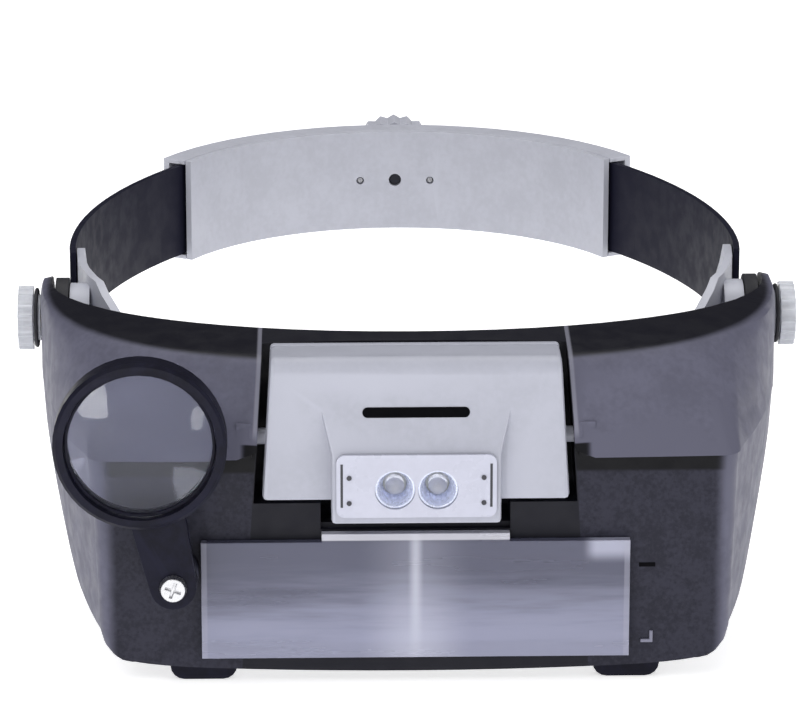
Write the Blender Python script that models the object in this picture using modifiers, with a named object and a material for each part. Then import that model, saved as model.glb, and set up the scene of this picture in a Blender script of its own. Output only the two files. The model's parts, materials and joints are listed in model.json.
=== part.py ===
"""Head visor magnifier: a tilting visor with lenses and a lamp, carried on an adjustable head ring.

The frame is the wearer's head: X to the right as seen from in front, -Y forwards, +Z up.
The origin is the middle of the head opening, level with the two side pivots.
"""
import math

import bmesh
import bpy
from mathutils import Matrix, Vector

MM = 0.001
GAP = 0.3 * MM                      # clearance between pieces that meet
WALL = 2.2 * MM                     # moulded wall of the visor

# ---- head ring: the inner face of the two straps, in plan -------------------------------------
RING_HALF_WIDTH = 87.4 * MM
RING_WIDEST_Y = -15.0 * MM
REAR_ARC_RADIUS = 69.5 * MM
REAR_ARC_Y = 35.3 * MM
STRAP_HEIGHT = 26.0 * MM
STRAP_THICK = 1.6 * MM
BAND_HEIGHT = 23.0 * MM
BAND_THICK = 2.0 * MM
BROW_BAND_TOP = 3.0 * MM
BROW_BAND_BOTTOM = -17.0 * MM
DIP_FRONT_Y = -62.0 * MM             # the band steps down between these two levels
DIP_REAR_Y = -47.0 * MM
# the side arc that touches both the front half circle and the rear arc
SIDE_ARC_RADIUS = (
    (RING_HALF_WIDTH**2 + (REAR_ARC_Y - RING_WIDEST_Y) ** 2 - REAR_ARC_RADIUS**2)
    / (2 * (RING_HALF_WIDTH - REAR_ARC_RADIUS))
)
SIDE_ARC_TURN = math.atan2(REAR_ARC_Y - RING_WIDEST_Y, SIDE_ARC_RADIUS - RING_HALF_WIDTH)

# ---- side pivots ------------------------------------------------------------------------------
PIVOT_Y = -40.5 * MM
EAR_OUTER_X = 95.1 * MM
EAR_INNER_X = EAR_OUTER_X - WALL
BOLT_RADIUS = 2.0 * MM
HOLE_RADIUS = BOLT_RADIUS + GAP
KNOB_RADIUS = 8.4 * MM
KNOB_OUTER_X = 101.2 * MM
KNOB_GRIP = 3.9 * MM                # length of the ribbed grip
KNOB_CAP = 1.5 * MM                 # thickness of its closed outer end

# ---- visor ------------------------------------------------------------------------------------
RIM_Y = -107.5 * MM                 # rear edge of the top shelf, at the middle
RIM_Z = 15.2 * MM
BROW_Y = -125.5 * MM                # front edge of the top shelf
BROW_Z = 12.6 * MM
LEDGE_Z = -9.8 * MM                 # top of the recessed front panel
FACE_Y = -133.0 * MM                # foremost moulded surface
PANEL_Y = -127.35 * MM              # recessed front panel
PANEL_HALF = 74.0 * MM
BOTTOM_Z = -64.3 * MM
CORNER_X = 79.5 * MM                 # where the front turns into the sides, at the ledge
FACE_CORNER_Y = -125.5 * MM
PANEL_CORNER_Y = -121.5 * MM
TUCK = 5.0 * MM                      # the lower corners are rounded in by this much
TUCK_HEIGHT = 7.0 * MM
CORNER_RISE = 4.2 * MM
RISE_FROM_Z = -55.0 * MM
LOWER_BOW = 2.0 * MM                 # the lower edge hangs lower in the middle
LEDGE_LIFT = 3.8 * MM                # the ledge is higher beside the lamp
EAR_REAR_Y = PIVOT_Y + 12.5 * MM
EAR_ROUND = 13.2 * MM                # the ear's upper rear corner is rounded about the pivot
EAR_TOP_Z = 10.2 * MM

# ---- lenses -----------------------------------------------------------------------------------
LENS_WIDTH = 105.0 * MM
LENS_HEIGHT = 30.0 * MM
LENS_Z = -46.8 * MM
LENS_THICK = 2.4 * MM
LENS_SEAT = 1.0 * MM
LENS_FRONT_Y = PANEL_Y - GAP - LENS_THICK
FLIP_AXIS_Y = -122.6 * MM
FLIP_AXIS_Z = -32.0 * MM
TRUNNION_RADIUS = 1.1 * MM
LOUPE_PIVOT = Vector((-59.0 * MM, 0.0, -39.2 * MM))
LOUPE_ARM = Vector((-7.4 * MM, 0.0, 36.7 * MM))
LOUPE_RADIUS = 20.9 * MM
LOUPE_REAR_Y = -137.4 * MM
LOUPE_DEPTH = 7.5 * MM
LOUPE_SHANK = 1.5 * MM

# ---- lamp -------------------------------------------------------------------------------------
LAMP_AXIS_Y = -125.0 * MM
LAMP_AXIS_Z = -6.0 * MM
CASE_TOP_Z = 15.2 * MM
CASE_BOTTOM_Z = -20.4 * MM
CASE_TOP_HALF = 35.2 * MM
CASE_BOTTOM_HALF = 37.4 * MM
CASE_FRONT_Y = -132.2 * MM
CASE_REAR_Y = -116.5 * MM
CASE_WALL = 1.8 * MM
CASE_PIN_RADIUS = 2.0 * MM
LAMP_HALF = 20.6 * MM
LAMP_FRONT_Y = -135.9 * MM
LAMP_BOTTOM_Z = -25.2 * MM
LED_OFFSET = 5.2 * MM
LED_Z = -16.3 * MM

# ---- rear unit --------------------------------------------------------------------------------
REAR_INNER_RADIUS = 67.2 * MM
REAR_OUTER_RADIUS = 76.2 * MM
REAR_HEIGHT = 29.0 * MM
REAR_HALF_ANGLE = math.radians(60.9)
PINION_Y = REAR_ARC_Y + REAR_ARC_RADIUS - 0.2 * MM
PINION_PITCH = 4.0 * MM
PINION_TEETH = 10
RACK_PITCH = 2 * math.pi * PINION_PITCH / PINION_TEETH

for leftover in list(bpy.data.objects):
    bpy.data.objects.remove(leftover, do_unlink=True)

PARTS = bpy.data.collections.new("head_visor_magnifier")
CUTTERS = bpy.data.collections.new("cutters")
bpy.context.scene.collection.children.link(PARTS)
bpy.context.scene.collection.children.link(CUTTERS)


# ---- materials --------------------------------------------------------------------------------
def material(name, colour, roughness, metallic=0.0, alpha=1.0):
    made = bpy.data.materials.new(name)
    made.use_nodes = True
    shader = made.node_tree.nodes["Principled BSDF"]
    shader.inputs["Base Color"].default_value = (*colour, 1.0)
    shader.inputs["Roughness"].default_value = roughness
    shader.inputs["Metallic"].default_value = metallic
    shader.inputs["Alpha"].default_value = alpha
    return made


VISOR_PLASTIC = material("visor_plastic", (0.14, 0.14, 0.18), 0.45)
STRAP_PLASTIC = material("strap_plastic", (0.05, 0.05, 0.075), 0.5)
PALE_PLASTIC = material("pale_plastic", (0.55, 0.56, 0.62), 0.4)
BEZEL_PLASTIC = material("bezel_plastic", (0.72, 0.72, 0.78), 0.35)
BLACK_RUBBER = material("black_rubber", (0.02, 0.02, 0.025), 0.7)
LOUPE_PLASTIC = material("loupe_plastic", (0.03, 0.03, 0.06), 0.35)
KNOB_PLASTIC = material("knob_plastic", (0.75, 0.78, 0.82), 0.15)
CLEAR_ACRYLIC = material("clear_acrylic", (0.75, 0.78, 0.88), 0.05, alpha=0.35)
LED_RESIN = material("led_resin", (0.9, 0.9, 0.85), 0.1)
STEEL = material("steel", (0.6, 0.6, 0.62), 0.3, 1.0)
BRASS = material("brass", (0.7, 0.5, 0.2), 0.35, 1.0)
CHROME = material("chrome", (0.85, 0.85, 0.88), 0.08, 1.0)
FOAM = material("foam", (0.03, 0.03, 0.035), 0.95)
BOARD_WHITE = material("board_white", (0.8, 0.8, 0.78), 0.5)
CELL_JACKET = material("cell_jacket", (0.1, 0.1, 0.12), 0.3)


# ---- building helpers -------------------------------------------------------------------------
def wrap(name, mesh, surface=None, origin=None):
    """Put a mesh in the scene, with its origin at the given point."""
    thing = bpy.data.objects.new(name, mesh)
    if origin is not None:
        mesh.transform(Matrix.Translation(-Vector(origin)))
        thing.location = origin
    if surface is None:
        CUTTERS.objects.link(thing)
        thing.hide_render = True
        thing.display_type = "WIRE"
    else:
        PARTS.objects.link(thing)
        mesh.materials.append(surface)
    return thing


def combine(target, tool, operation):
    step = target.modifiers.new(tool.name, "BOOLEAN")
    step.object = tool
    step.operation = operation
    step.solver = "EXACT"


def cut(target, *tools):
    for tool in tools:
        combine(target, tool, "DIFFERENCE")


def join(target, *tools):
    for tool in tools:
        combine(target, tool, "UNION")


def box(name, low, high, surface=None, origin=None):
    mesh = bpy.data.meshes.new(name)
    shape = bmesh.new()
    bmesh.ops.create_cube(shape, size=1.0)
    low = Vector(low)
    high = Vector(high)
    for corner in shape.verts:
        for k in range(3):
            corner.co[k] = low[k] if corner.co[k] < 0 else high[k]
    shape.to_mesh(mesh)
    shape.free()
    return wrap(name, mesh, surface, origin)


AXIS_TURN = {
    "X": Matrix.Rotation(math.pi / 2, 4, "Y"),
    "Y": Matrix.Rotation(-math.pi / 2, 4, "X"),
    "Z": Matrix.Identity(4),
}


def rod(name, axis, at, low, high, radius, surface=None, sides=24, end_radius=None, origin=None):
    """A cylinder or cone along one axis through the point `at`, between two levels."""
    mesh = bpy.data.meshes.new(name)
    shape = bmesh.new()
    bmesh.ops.create_cone(
        shape,
        cap_ends=True,
        segments=sides,
        radius1=radius,
        radius2=radius if end_radius is None else end_radius,
        depth=high - low,
    )
    middle = Vector(at)
    middle["XYZ".index(axis)] = (low + high) / 2
    shape.transform(Matrix.Translation(middle) @ AXIS_TURN[axis])
    shape.to_mesh(mesh)
    shape.free()
    return wrap(name, mesh, surface, origin)


def plate(name, outline, plane, low, high, surface=None, origin=None):
    """A flat outline given in the XY, XZ or YZ plane, drawn out between two levels."""
    curve = bpy.data.curves.new(name, "CURVE")
    curve.dimensions = "2D"
    curve.fill_mode = "BOTH"
    curve.extrude = (high - low) / 2
    spline = curve.splines.new("POLY")
    spline.points.add(len(outline) - 1)
    for point, (u, v) in zip(spline.points, outline):
        point.co = (u, v, 0.0, 1.0)
    spline.use_cyclic_u = True
    drawn = bpy.data.objects.new(name + "_outline", curve)
    CUTTERS.objects.link(drawn)
    mesh = bpy.data.meshes.new_from_object(drawn)
    bpy.data.objects.remove(drawn)
    shape = bmesh.new()
    shape.from_mesh(mesh)
    bmesh.ops.remove_doubles(shape, verts=shape.verts, dist=0.000001)
    middle = (low + high) / 2
    turn = {
        "XY": Matrix(((1, 0, 0, 0), (0, 1, 0, 0), (0, 0, 1, middle), (0, 0, 0, 1))),
        "XZ": Matrix(((1, 0, 0, 0), (0, 0, -1, middle), (0, 1, 0, 0), (0, 0, 0, 1))),
        "YZ": Matrix(((0, 0, 1, middle), (1, 0, 0, 0), (0, 1, 0, 0), (0, 0, 0, 1))),
    }[plane]
    shape.transform(turn)
    bmesh.ops.recalc_face_normals(shape, faces=shape.faces)
    if shape.calc_volume(signed=True) < 0:
        bmesh.ops.reverse_faces(shape, faces=shape.faces)
    shape.to_mesh(mesh)
    shape.free()
    mesh.materials.clear()
    return wrap(name, mesh, surface, origin)


def turned(name, axis, at, profile, surface=None, steps=32):
    """A turned shape: (radius, level) points down the outer side, about an axis through `at`."""
    mesh = bpy.data.meshes.new(name)
    edges = [(k, k + 1) for k in range(len(profile) - 1)]
    if profile[0][0] > 0:
        edges.append((len(profile) - 1, 0))
    mesh.from_pydata([(radius, 0.0, level) for radius, level in profile], edges, [])
    thing = wrap(name, mesh, surface)
    thing.matrix_world = Matrix.Translation(Vector(at)) @ AXIS_TURN[axis]
    spin = thing.modifiers.new("spin", "SCREW")
    spin.axis = "Z"
    spin.angle = 2 * math.pi
    spin.steps = steps
    spin.render_steps = steps
    spin.use_merge_vertices = True
    spin.merge_threshold = 0.00001
    return thing


def soften(thing, width, segments=2, angle=40):
    edge = thing.modifiers.new("edge", "BEVEL")
    edge.width = width
    edge.segments = segments
    edge.limit_method = "ANGLE"
    edge.angle_limit = math.radians(angle)
    edge.harden_normals = False


def smooth(thing, angle=35):
    if thing.data.polygons:
        thing.data.shade_smooth()
        thing.data.set_sharp_from_angle(angle=math.radians(angle))


def arc(centre, radius, start, end, count):
    """Points of an arc, angles in degrees."""
    turns = [math.radians(start + (end - start) * k / count) for k in range(count + 1)]
    return [(centre[0] + radius * math.cos(t), centre[1] + radius * math.sin(t)) for t in turns]


def rounded(low, high, radius, count=4):
    """A rectangle with rounded corners, anticlockwise."""
    left, bottom = low[0] + radius, low[1] + radius
    right, top = high[0] - radius, high[1] - radius
    return (
        arc((right, bottom), radius, -90, 0, count)
        + arc((right, top), radius, 0, 90, count)
        + arc((left, top), radius, 90, 180, count)
        + arc((left, bottom), radius, 180, 270, count)
    )


def mix(a, b, share):
    return a + (b - a) * share


# ---- head ring --------------------------------------------------------------------------------
FRONT_LENGTH = RING_HALF_WIDTH * math.pi / 2
SIDE_LENGTH = SIDE_ARC_RADIUS * SIDE_ARC_TURN
HALF_RING = FRONT_LENGTH + SIDE_LENGTH + REAR_ARC_RADIUS * (math.pi / 2 - SIDE_ARC_TURN)


def ring_point(length, outwards=0.0):
    """A point on the right half of the ring, `length` along it from the middle of the front."""
    if length < FRONT_LENGTH:
        turn = length / RING_HALF_WIDTH
        radius = RING_HALF_WIDTH + outwards
        return radius * math.sin(turn), RING_WIDEST_Y - radius * math.cos(turn)
    if length < FRONT_LENGTH + SIDE_LENGTH:
        turn = (length - FRONT_LENGTH) / SIDE_ARC_RADIUS
        radius = SIDE_ARC_RADIUS + outwards
        middle = RING_HALF_WIDTH - SIDE_ARC_RADIUS
        return middle + radius * math.cos(turn), RING_WIDEST_Y + radius * math.sin(turn)
    turn = (HALF_RING - length) / REAR_ARC_RADIUS
    radius = REAR_ARC_RADIUS + outwards
    return radius * math.sin(turn), REAR_ARC_Y + radius * math.cos(turn)


def strip(start, end, inner, outer, count, side=1):
    """Plan outline of a bent strip that follows the ring, between two offsets from it."""
    lengths = [mix(start, end, k / count) for k in range(count + 1)]
    there = [ring_point(length, inner) for length in lengths]
    back = [ring_point(length, outer) for length in reversed(lengths)]
    return [(side * x, y) for x, y in there + back]


def front_band():
    """The pale moulded band: round the forehead and back along both temples."""
    end = FRONT_LENGTH + 26 * MM
    count = 36
    outer = -GAP
    inner = outer - BAND_THICK
    lengths = [mix(-end, end, k / count) for k in range(count + 1)]

    def at(length, outwards):
        x, y = ring_point(abs(length), outwards)
        return math.copysign(x, length), y

    outline = [at(length, outer) for length in lengths]
    outline += [at(length, inner) for length in reversed(lengths)]
    half = BAND_HEIGHT / 2
    band = plate("front_band", outline, "XY", BROW_BAND_BOTTOM, half, PALE_PLASTIC)
    # the band dips between the temples and the brow, below the edge of the visor
    above = [
        (FACE_Y, BROW_BAND_TOP), (DIP_FRONT_Y, BROW_BAND_TOP), (DIP_REAR_Y, half),
        (DIP_REAR_Y, 2 * half), (FACE_Y, 2 * half),
    ]
    below = [
        (DIP_FRONT_Y, BROW_BAND_BOTTOM), (DIP_FRONT_Y, 2 * BROW_BAND_BOTTOM),
        (-FACE_Y, 2 * BROW_BAND_BOTTOM), (-FACE_Y, -half), (DIP_REAR_Y, -half),
    ]
    for name, dip in (("dip_above", above), ("dip_below", below)):
        cut(band, plate(name, dip, "YZ", -2 * RING_HALF_WIDTH, 2 * RING_HALF_WIDTH))
    for side, label in ((1, "right"), (-1, "left")):
        boss_low, boss_high = sorted((side * 82.6 * MM, side * 87.7 * MM))
        join(band, rod("boss_" + label, "X", (0, PIVOT_Y, 0), boss_low, boss_high, 9 * MM))
        sink_low, sink_high = sorted((side * 76 * MM, side * 84.6 * MM))
        cut(band, rod("sink_" + label, "X", (0, PIVOT_Y, 0), sink_low, sink_high, 4.5 * MM))
        hole_low, hole_high = sorted((side * 80 * MM, side * 95 * MM))
        cut(band, rod("bore_" + label, "X", (0, PIVOT_Y, 0), hole_low, hole_high, HOLE_RADIUS))
        # the rear end of each arm slopes, its lower corner reaching further back
        tip = box("slope_" + label, (-12 * MM, 0, -40 * MM), (12 * MM, 30 * MM, 40 * MM))
        tip_x, tip_y = ring_point(end - 13 * MM, 0)
        tip.location = (side * tip_x, tip_y, 0)
        tip.rotation_euler = (math.radians(46), 0, 0)
        cut(band, tip)
        for station in RIVET_STATIONS:
            cut(band, rivet_rod("band_hole", side, station, -8 * MM, 8 * MM, 1.6 * MM))
    smooth(band)
    return band


RIVET_STATIONS = ((FRONT_LENGTH - 3.5 * MM, 0.0), (FRONT_LENGTH + 8 * MM, -5.5 * MM))


def rivet_rod(name, side, station, low, high, radius, surface=None, sides=16):
    """A short rod square to the ring at a (length, height) station; levels count outwards."""
    length, height = station
    x, y = ring_point(length)
    out_x, out_y = ring_point(length, 1.0)
    heading = math.atan2(out_y - y, out_x - x)
    if side < 0:
        heading = math.pi - heading
    thing = rod(name, "X", (0, 0, 0), low, high, radius, surface, sides)
    thing.location = (side * x, y, height)
    thing.rotation_euler = (0, 0, heading)
    return thing


def strap_rivets():
    for side, label in ((1, "right"), (-1, "left")):
        for station, place in zip(RIVET_STATIONS, ("front", "rear")):
            name = "strap_rivet_" + label + "_" + place
            inner = -GAP - BAND_THICK - GAP
            outer = STRAP_THICK + GAP
            rivet = rivet_rod(name, side, station, inner - 1.0 * MM, inner, 2.8 * MM, STEEL)
            shank = rivet_rod(name + "_s", side, station, inner - 0.4 * MM, outer + 0.4 * MM, 1.3 * MM)
            head = rivet_rod(name + "_h", side, station, outer, outer + 1.0 * MM, 2.8 * MM)
            join(rivet, shank, head)


def brow_pad():
    """Foam pad inside the band, against the forehead."""
    reach = math.radians(56)
    outer = RING_HALF_WIDTH - GAP - BAND_THICK - GAP
    inner = outer - 5.0 * MM
    count = 20
    turns = [mix(-reach, reach, k / count) for k in range(count + 1)]
    outline = [(outer * math.sin(t), RING_WIDEST_Y - outer * math.cos(t)) for t in turns]
    outline += [(inner * math.sin(t), RING_WIDEST_Y - inner * math.cos(t)) for t in reversed(turns)]
    pad = plate("brow_pad", outline, "XY", BROW_BAND_BOTTOM + 1 * MM, BROW_BAND_TOP - 1 * MM, FOAM)
    smooth(pad)


def strap(side, label):
    """A bent strap from the temple into the rear unit, ending in a toothed tongue."""
    start = FRONT_LENGTH - 9 * MM
    shoulder = HALF_RING - 48 * MM
    tip = HALF_RING + 24 * MM
    half = STRAP_HEIGHT / 2
    body = plate(
        "strap_" + label,
        strip(start, shoulder, 0, STRAP_THICK, 20, side),
        "XY", -half, half, STRAP_PLASTIC,
    )
    # the left tongue lies above the pinion, the right one below it
    above = side < 0
    edge = PINION_PITCH - 0.1 * MM
    low, high = (edge, half - 1.5 * MM) if above else (1.5 * MM - half, -edge)
    tongue = plate(
        "tongue_" + label,
        strip(shoulder - 1 * MM, tip, 0, STRAP_THICK, 18, side),
        "XY", low, high,
    )
    join(body, tongue)
    # tooth gaps along the edge that faces the pinion, one of them centred over it
    near = edge - 0.3 * MM
    deep = edge + 1.1 * MM
    sign = 1 if above else -1
    for k in range(-6, 7):
        middle = k * RACK_PITCH
        gap = [
            (middle - 1.15 * MM, sign * near),
            (middle + 1.15 * MM, sign * near),
            (middle + 0.55 * MM, sign * deep),
            (middle - 0.55 * MM, sign * deep),
        ]
        if not above:
            gap.reverse()
        tooth = plate("tooth_gap", gap, "XZ", 92 * MM, 110 * MM)
        cut(body, tooth)
    for station in RIVET_STATIONS:
        cut(body, rivet_rod("strap_hole", side, station, -8 * MM, 8 * MM, 1.6 * MM))
    smooth(body)


# ---- side pivots ------------------------------------------------------------------------------
def between(side, near, far):
    """Two levels along X, nearer and further from the middle, put in rising order."""
    return sorted((side * near, side * far))


def pivot_set(side, label):
    centre = (0, PIVOT_Y, 0)
    socket_end = KNOB_OUTER_X - KNOB_CAP
    head = between(side, 81.9 * MM, 84.3 * MM)
    bolt = rod("pivot_bolt_" + label, "X", centre, *head, 4.0 * MM, STEEL)
    shank = between(side, 84.0 * MM, socket_end - 4 * GAP)
    join(bolt, rod("shank_" + label, "X", centre, *shank, BOLT_RADIUS))
    low, high = between(side, 80 * MM, 82.7 * MM)
    slot_length, slot_half = 10 * MM, 0.5 * MM
    cut(bolt, box(
        "bolt_slot",
        (low, PIVOT_Y - slot_length / 2, -slot_half), (high, PIVOT_Y + slot_length / 2, slot_half),
    ))

    washer = between(side, 88.0 * MM, 91.4 * MM)
    disc = rod("friction_washer_" + label, "X", centre, *washer, 10.4 * MM, BLACK_RUBBER, sides=36)
    join(disc, rod("washer_face", "X", centre, *between(side, 91 * MM, EAR_INNER_X - GAP), 6.5 * MM))
    cut(disc, rod("washer_bore", "X", centre, *between(side, 87 * MM, 94 * MM), HOLE_RADIUS))
    smooth(disc)

    # a ribbed grip outside a plain neck
    ribs = 18
    outline = []
    for k in range(ribs * 3):
        turn = 2 * math.pi * k / (ribs * 3)
        radius = KNOB_RADIUS - 0.45 * MM * (1 - math.cos(ribs * turn))
        outline.append((PIVOT_Y + radius * math.cos(turn), radius * math.sin(turn)))
    grip = between(side, KNOB_OUTER_X - KNOB_GRIP, KNOB_OUTER_X)
    knob = plate("knob_" + label, outline, "YZ", *grip, KNOB_PLASTIC, origin=centre)
    neck = between(side, EAR_OUTER_X + GAP, KNOB_OUTER_X - KNOB_GRIP / 2)
    join(knob, rod("neck_" + label, "X", centre, *neck, 6.0 * MM))
    socket = between(side, EAR_OUTER_X - GAP, socket_end)
    cut(knob, rod("socket_" + label, "X", centre, *socket, 3.0 * MM + GAP))
    insert = between(side, EAR_OUTER_X + GAP, socket_end - GAP)
    nut = rod("knob_nut_" + label, "X", centre, *insert, 3.0 * MM, BRASS, sides=6, origin=centre)
    cut(nut, rod("nut_bore", "X", centre, *between(side, 94 * MM, 102 * MM), HOLE_RADIUS))


# ---- visor shell ------------------------------------------------------------------------------
NOTCH_TOP_HALF = 36.6 * MM
NOTCH_TOP_Z = 22.0 * MM
NOTCH_HALF = 39.6 * MM
NOTCH_SHELF_Z = -22.6 * MM
NOTCH_HOOD_HALF = 23.2 * MM
NOTCH_BOTTOM_Z = -29.4 * MM
POCKET_FLOOR_Z = -28.1 * MM          # clear of the flip lens, which turns just below it
POCKET_REAR_Y = -111.0 * MM
POCKET_WALL = 1.8 * MM
# side view of the pocket behind the notch: it stops inside the thickness of the walls round it
POCKET_SIDE = [
    (POCKET_REAR_Y, 13.2 * MM),
    (-121.4 * MM, 11.2 * MM),
    (FACE_Y + 2 * MM, LEDGE_Z + LEDGE_LIFT + 1 * MM),
    (PANEL_Y + WALL / 2, LEDGE_Z + LEDGE_LIFT + 1 * MM),
    (PANEL_Y + WALL / 2, NOTCH_BOTTOM_Z - 2 * WALL),
    (POCKET_REAR_Y, NOTCH_BOTTOM_Z - 2 * WALL),
]
FRONT_COLUMNS = 10
CORNER_COLUMNS = 6
SIDE_COLUMNS = 10


def front_share(column):
    """Share of the way out along the front, with the columns closer together at the corner."""
    return math.sin(math.pi / 2 * column / FRONT_COLUMNS)


def side_share(column):
    """Share of the way back along a side, with the columns closer together at the ear."""
    return 1 - (1 - column / SIDE_COLUMNS) ** 1.5


def oval_y(x, half_width, depth, power):
    return PIVOT_Y - depth * (1 - (x / half_width) ** power) ** (1 / power)


def oval_x(y, half_width, depth, power):
    if y > PIVOT_Y:
        return half_width
    return half_width * (1 - ((PIVOT_Y - y) / depth) ** power) ** (1 / power)


def rear_edge(z):
    """How far back the side of the visor reaches at a level: straight, then a big round corner."""
    corner_top_z = -26 * MM
    corner_length = 56 * MM
    drop = max(0.0, corner_top_z - z) / (corner_top_z - BOTTOM_Z)
    return EAR_REAR_Y - corner_length * (1 - math.sqrt(1 - drop * drop))


def rim_row(half_width, front_y, power, front_end, corner_end, middle_z, ear_z):
    """Half of an oval edge of the top shelf, from the middle of the front to the ear."""
    depth = PIVOT_Y - front_y
    row = []
    for k in range(FRONT_COLUMNS + CORNER_COLUMNS + 1):
        if k <= FRONT_COLUMNS:
            x = front_end * front_share(k)
        else:
            x = mix(front_end, corner_end, (k - FRONT_COLUMNS) / CORNER_COLUMNS)
        row.append((x, oval_y(x, half_width, depth, power)))
    start_y = row[-1][1]
    for k in range(1, SIDE_COLUMNS + 1):
        y = mix(start_y, EAR_REAR_Y, side_share(k))
        row.append((oval_x(y, half_width, depth, power), y))
    points = []
    for x, y in row:
        back = min(1.0, max(0.0, (y - front_y) / depth))
        round_off = math.sqrt(1 - (max(0.0, y - PIVOT_Y) / EAR_ROUND) ** 2)
        points.append(Vector((x, y, mix(middle_z, ear_z, back**1.3) * round_off)))
    return points


def tuck(level):
    """How far the sides are drawn in near the lower edge, to round the two lower corners."""
    depth = min(1.0, max(0.0, (BOTTOM_Z + TUCK_HEIGHT - level) / TUCK_HEIGHT))
    return TUCK * (1 - math.sqrt(1 - depth * depth))


def wall_row(level, recessed):
    """Half of a level of the front and side walls, from the middle of the front to the rear edge."""
    sink = (LEDGE_Z - level) / (LEDGE_Z - BOTTOM_Z)
    lift = max(0.0, RISE_FROM_Z - level) / (RISE_FROM_Z - BOTTOM_Z)
    ear_x = EAR_OUTER_X - 8.5 * MM * max(0.0, sink) ** 1.6
    corner_x = CORNER_X - 2.0 * MM * sink - tuck(level)
    corner_y = PANEL_CORNER_Y if recessed else FACE_CORNER_Y
    front_x = PANEL_HALF - tuck(level)
    front_y = PANEL_Y if recessed else FACE_Y
    sweep = 0.0 if recessed else 1.6 * MM
    row = []
    for k in range(FRONT_COLUMNS + 1):
        share = front_share(k)
        z = level + lift * (CORNER_RISE / 5 * share**12 - LOWER_BOW * (1 - share**2))
        if level > LEDGE_Z - 1 * MM and front_x * share < CASE_BOTTOM_HALF:
            z += LEDGE_LIFT
        row.append(Vector((front_x * share, front_y + sweep * share**2, z)))
    turn_x = front_x + 0.8 * MM
    turn_y = front_y + sweep
    for k in range(CORNER_COLUMNS):
        turn = math.radians(90 * k / CORNER_COLUMNS)
        x = turn_x + (corner_x - turn_x) * math.sin(turn)
        y = corner_y - (corner_y - turn_y) * math.cos(turn)
        rise = CORNER_RISE * (1 - 0.8 * math.cos(turn))
        row.append(Vector((x, y, level + lift * rise)))
    rear_y = rear_edge(level)
    for k in range(SIDE_COLUMNS + 1):
        y = mix(corner_y, rear_y, side_share(k))
        back = max(0.0, PIVOT_Y - y) / (PIVOT_Y - corner_y)
        rise = CORNER_RISE * (1 - 0.3 * k / SIDE_COLUMNS)
        row.append(Vector((ear_x - (ear_x - corner_x) * back**2, y, level + lift * rise)))
    return row


def visor_rows():
    rim = rim_row(92.4 * MM, RIM_Y, 2.2, 66 * MM, 76 * MM, RIM_Z, EAR_TOP_Z + 0.4 * MM)
    brow = rim_row(EAR_OUTER_X, BROW_Y, 2.6, 70 * MM, 80 * MM, BROW_Z, EAR_TOP_Z)
    lip = wall_row(LEDGE_Z, False)
    # the rim rows have one column fewer than the walls, whose lip and panel edge are two columns
    rim.insert(FRONT_COLUMNS + 1, rim[FRONT_COLUMNS].lerp(rim[FRONT_COLUMNS + 1], 0.2))
    brow.insert(FRONT_COLUMNS + 1, brow[FRONT_COLUMNS].lerp(brow[FRONT_COLUMNS + 1], 0.2))

    def between_rows(a, b, share):
        return [p.lerp(q, share) for p, q in zip(a, b)]

    above = between_rows(brow, rim, 0.2)
    below = between_rows(brow, lip, 0.16)
    edge = [(p + q + 2 * r) / 4 for p, q, r in zip(above, below, brow)]
    rows = [rim, between_rows(brow, rim, 0.55), above, edge, below]
    rows += [between_rows(brow, lip, share) for share in (0.4, 0.7)]
    rows.append(lip)
    rows.append(wall_row(LEDGE_Z - 0.6 * MM, True))
    rows += [wall_row(level * MM, True) for level in (-22, -30, -38, -46, -52, -57, -60.5, -62.8, -63.9)]
    rows.append(wall_row(BOTTOM_Z, True))
    return rows


def notch(name, spread, floor_z, front, rear):
    """The opening for the lamp case: a tapered one, with a narrower one for the hood below."""
    bottom = NOTCH_SHELF_Z - spread
    corners = [
        (-NOTCH_HALF - spread, bottom), (NOTCH_HALF + spread, bottom),
        (NOTCH_TOP_HALF + spread, NOTCH_TOP_Z), (-NOTCH_TOP_HALF - spread, NOTCH_TOP_Z),
    ]
    tool = plate(name, corners, "XZ", front, rear)
    half = NOTCH_HOOD_HALF + spread
    join(tool, box(name + "_hood", (-half, front, floor_z), (half, rear, LAMP_AXIS_Z)))
    return tool


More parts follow.
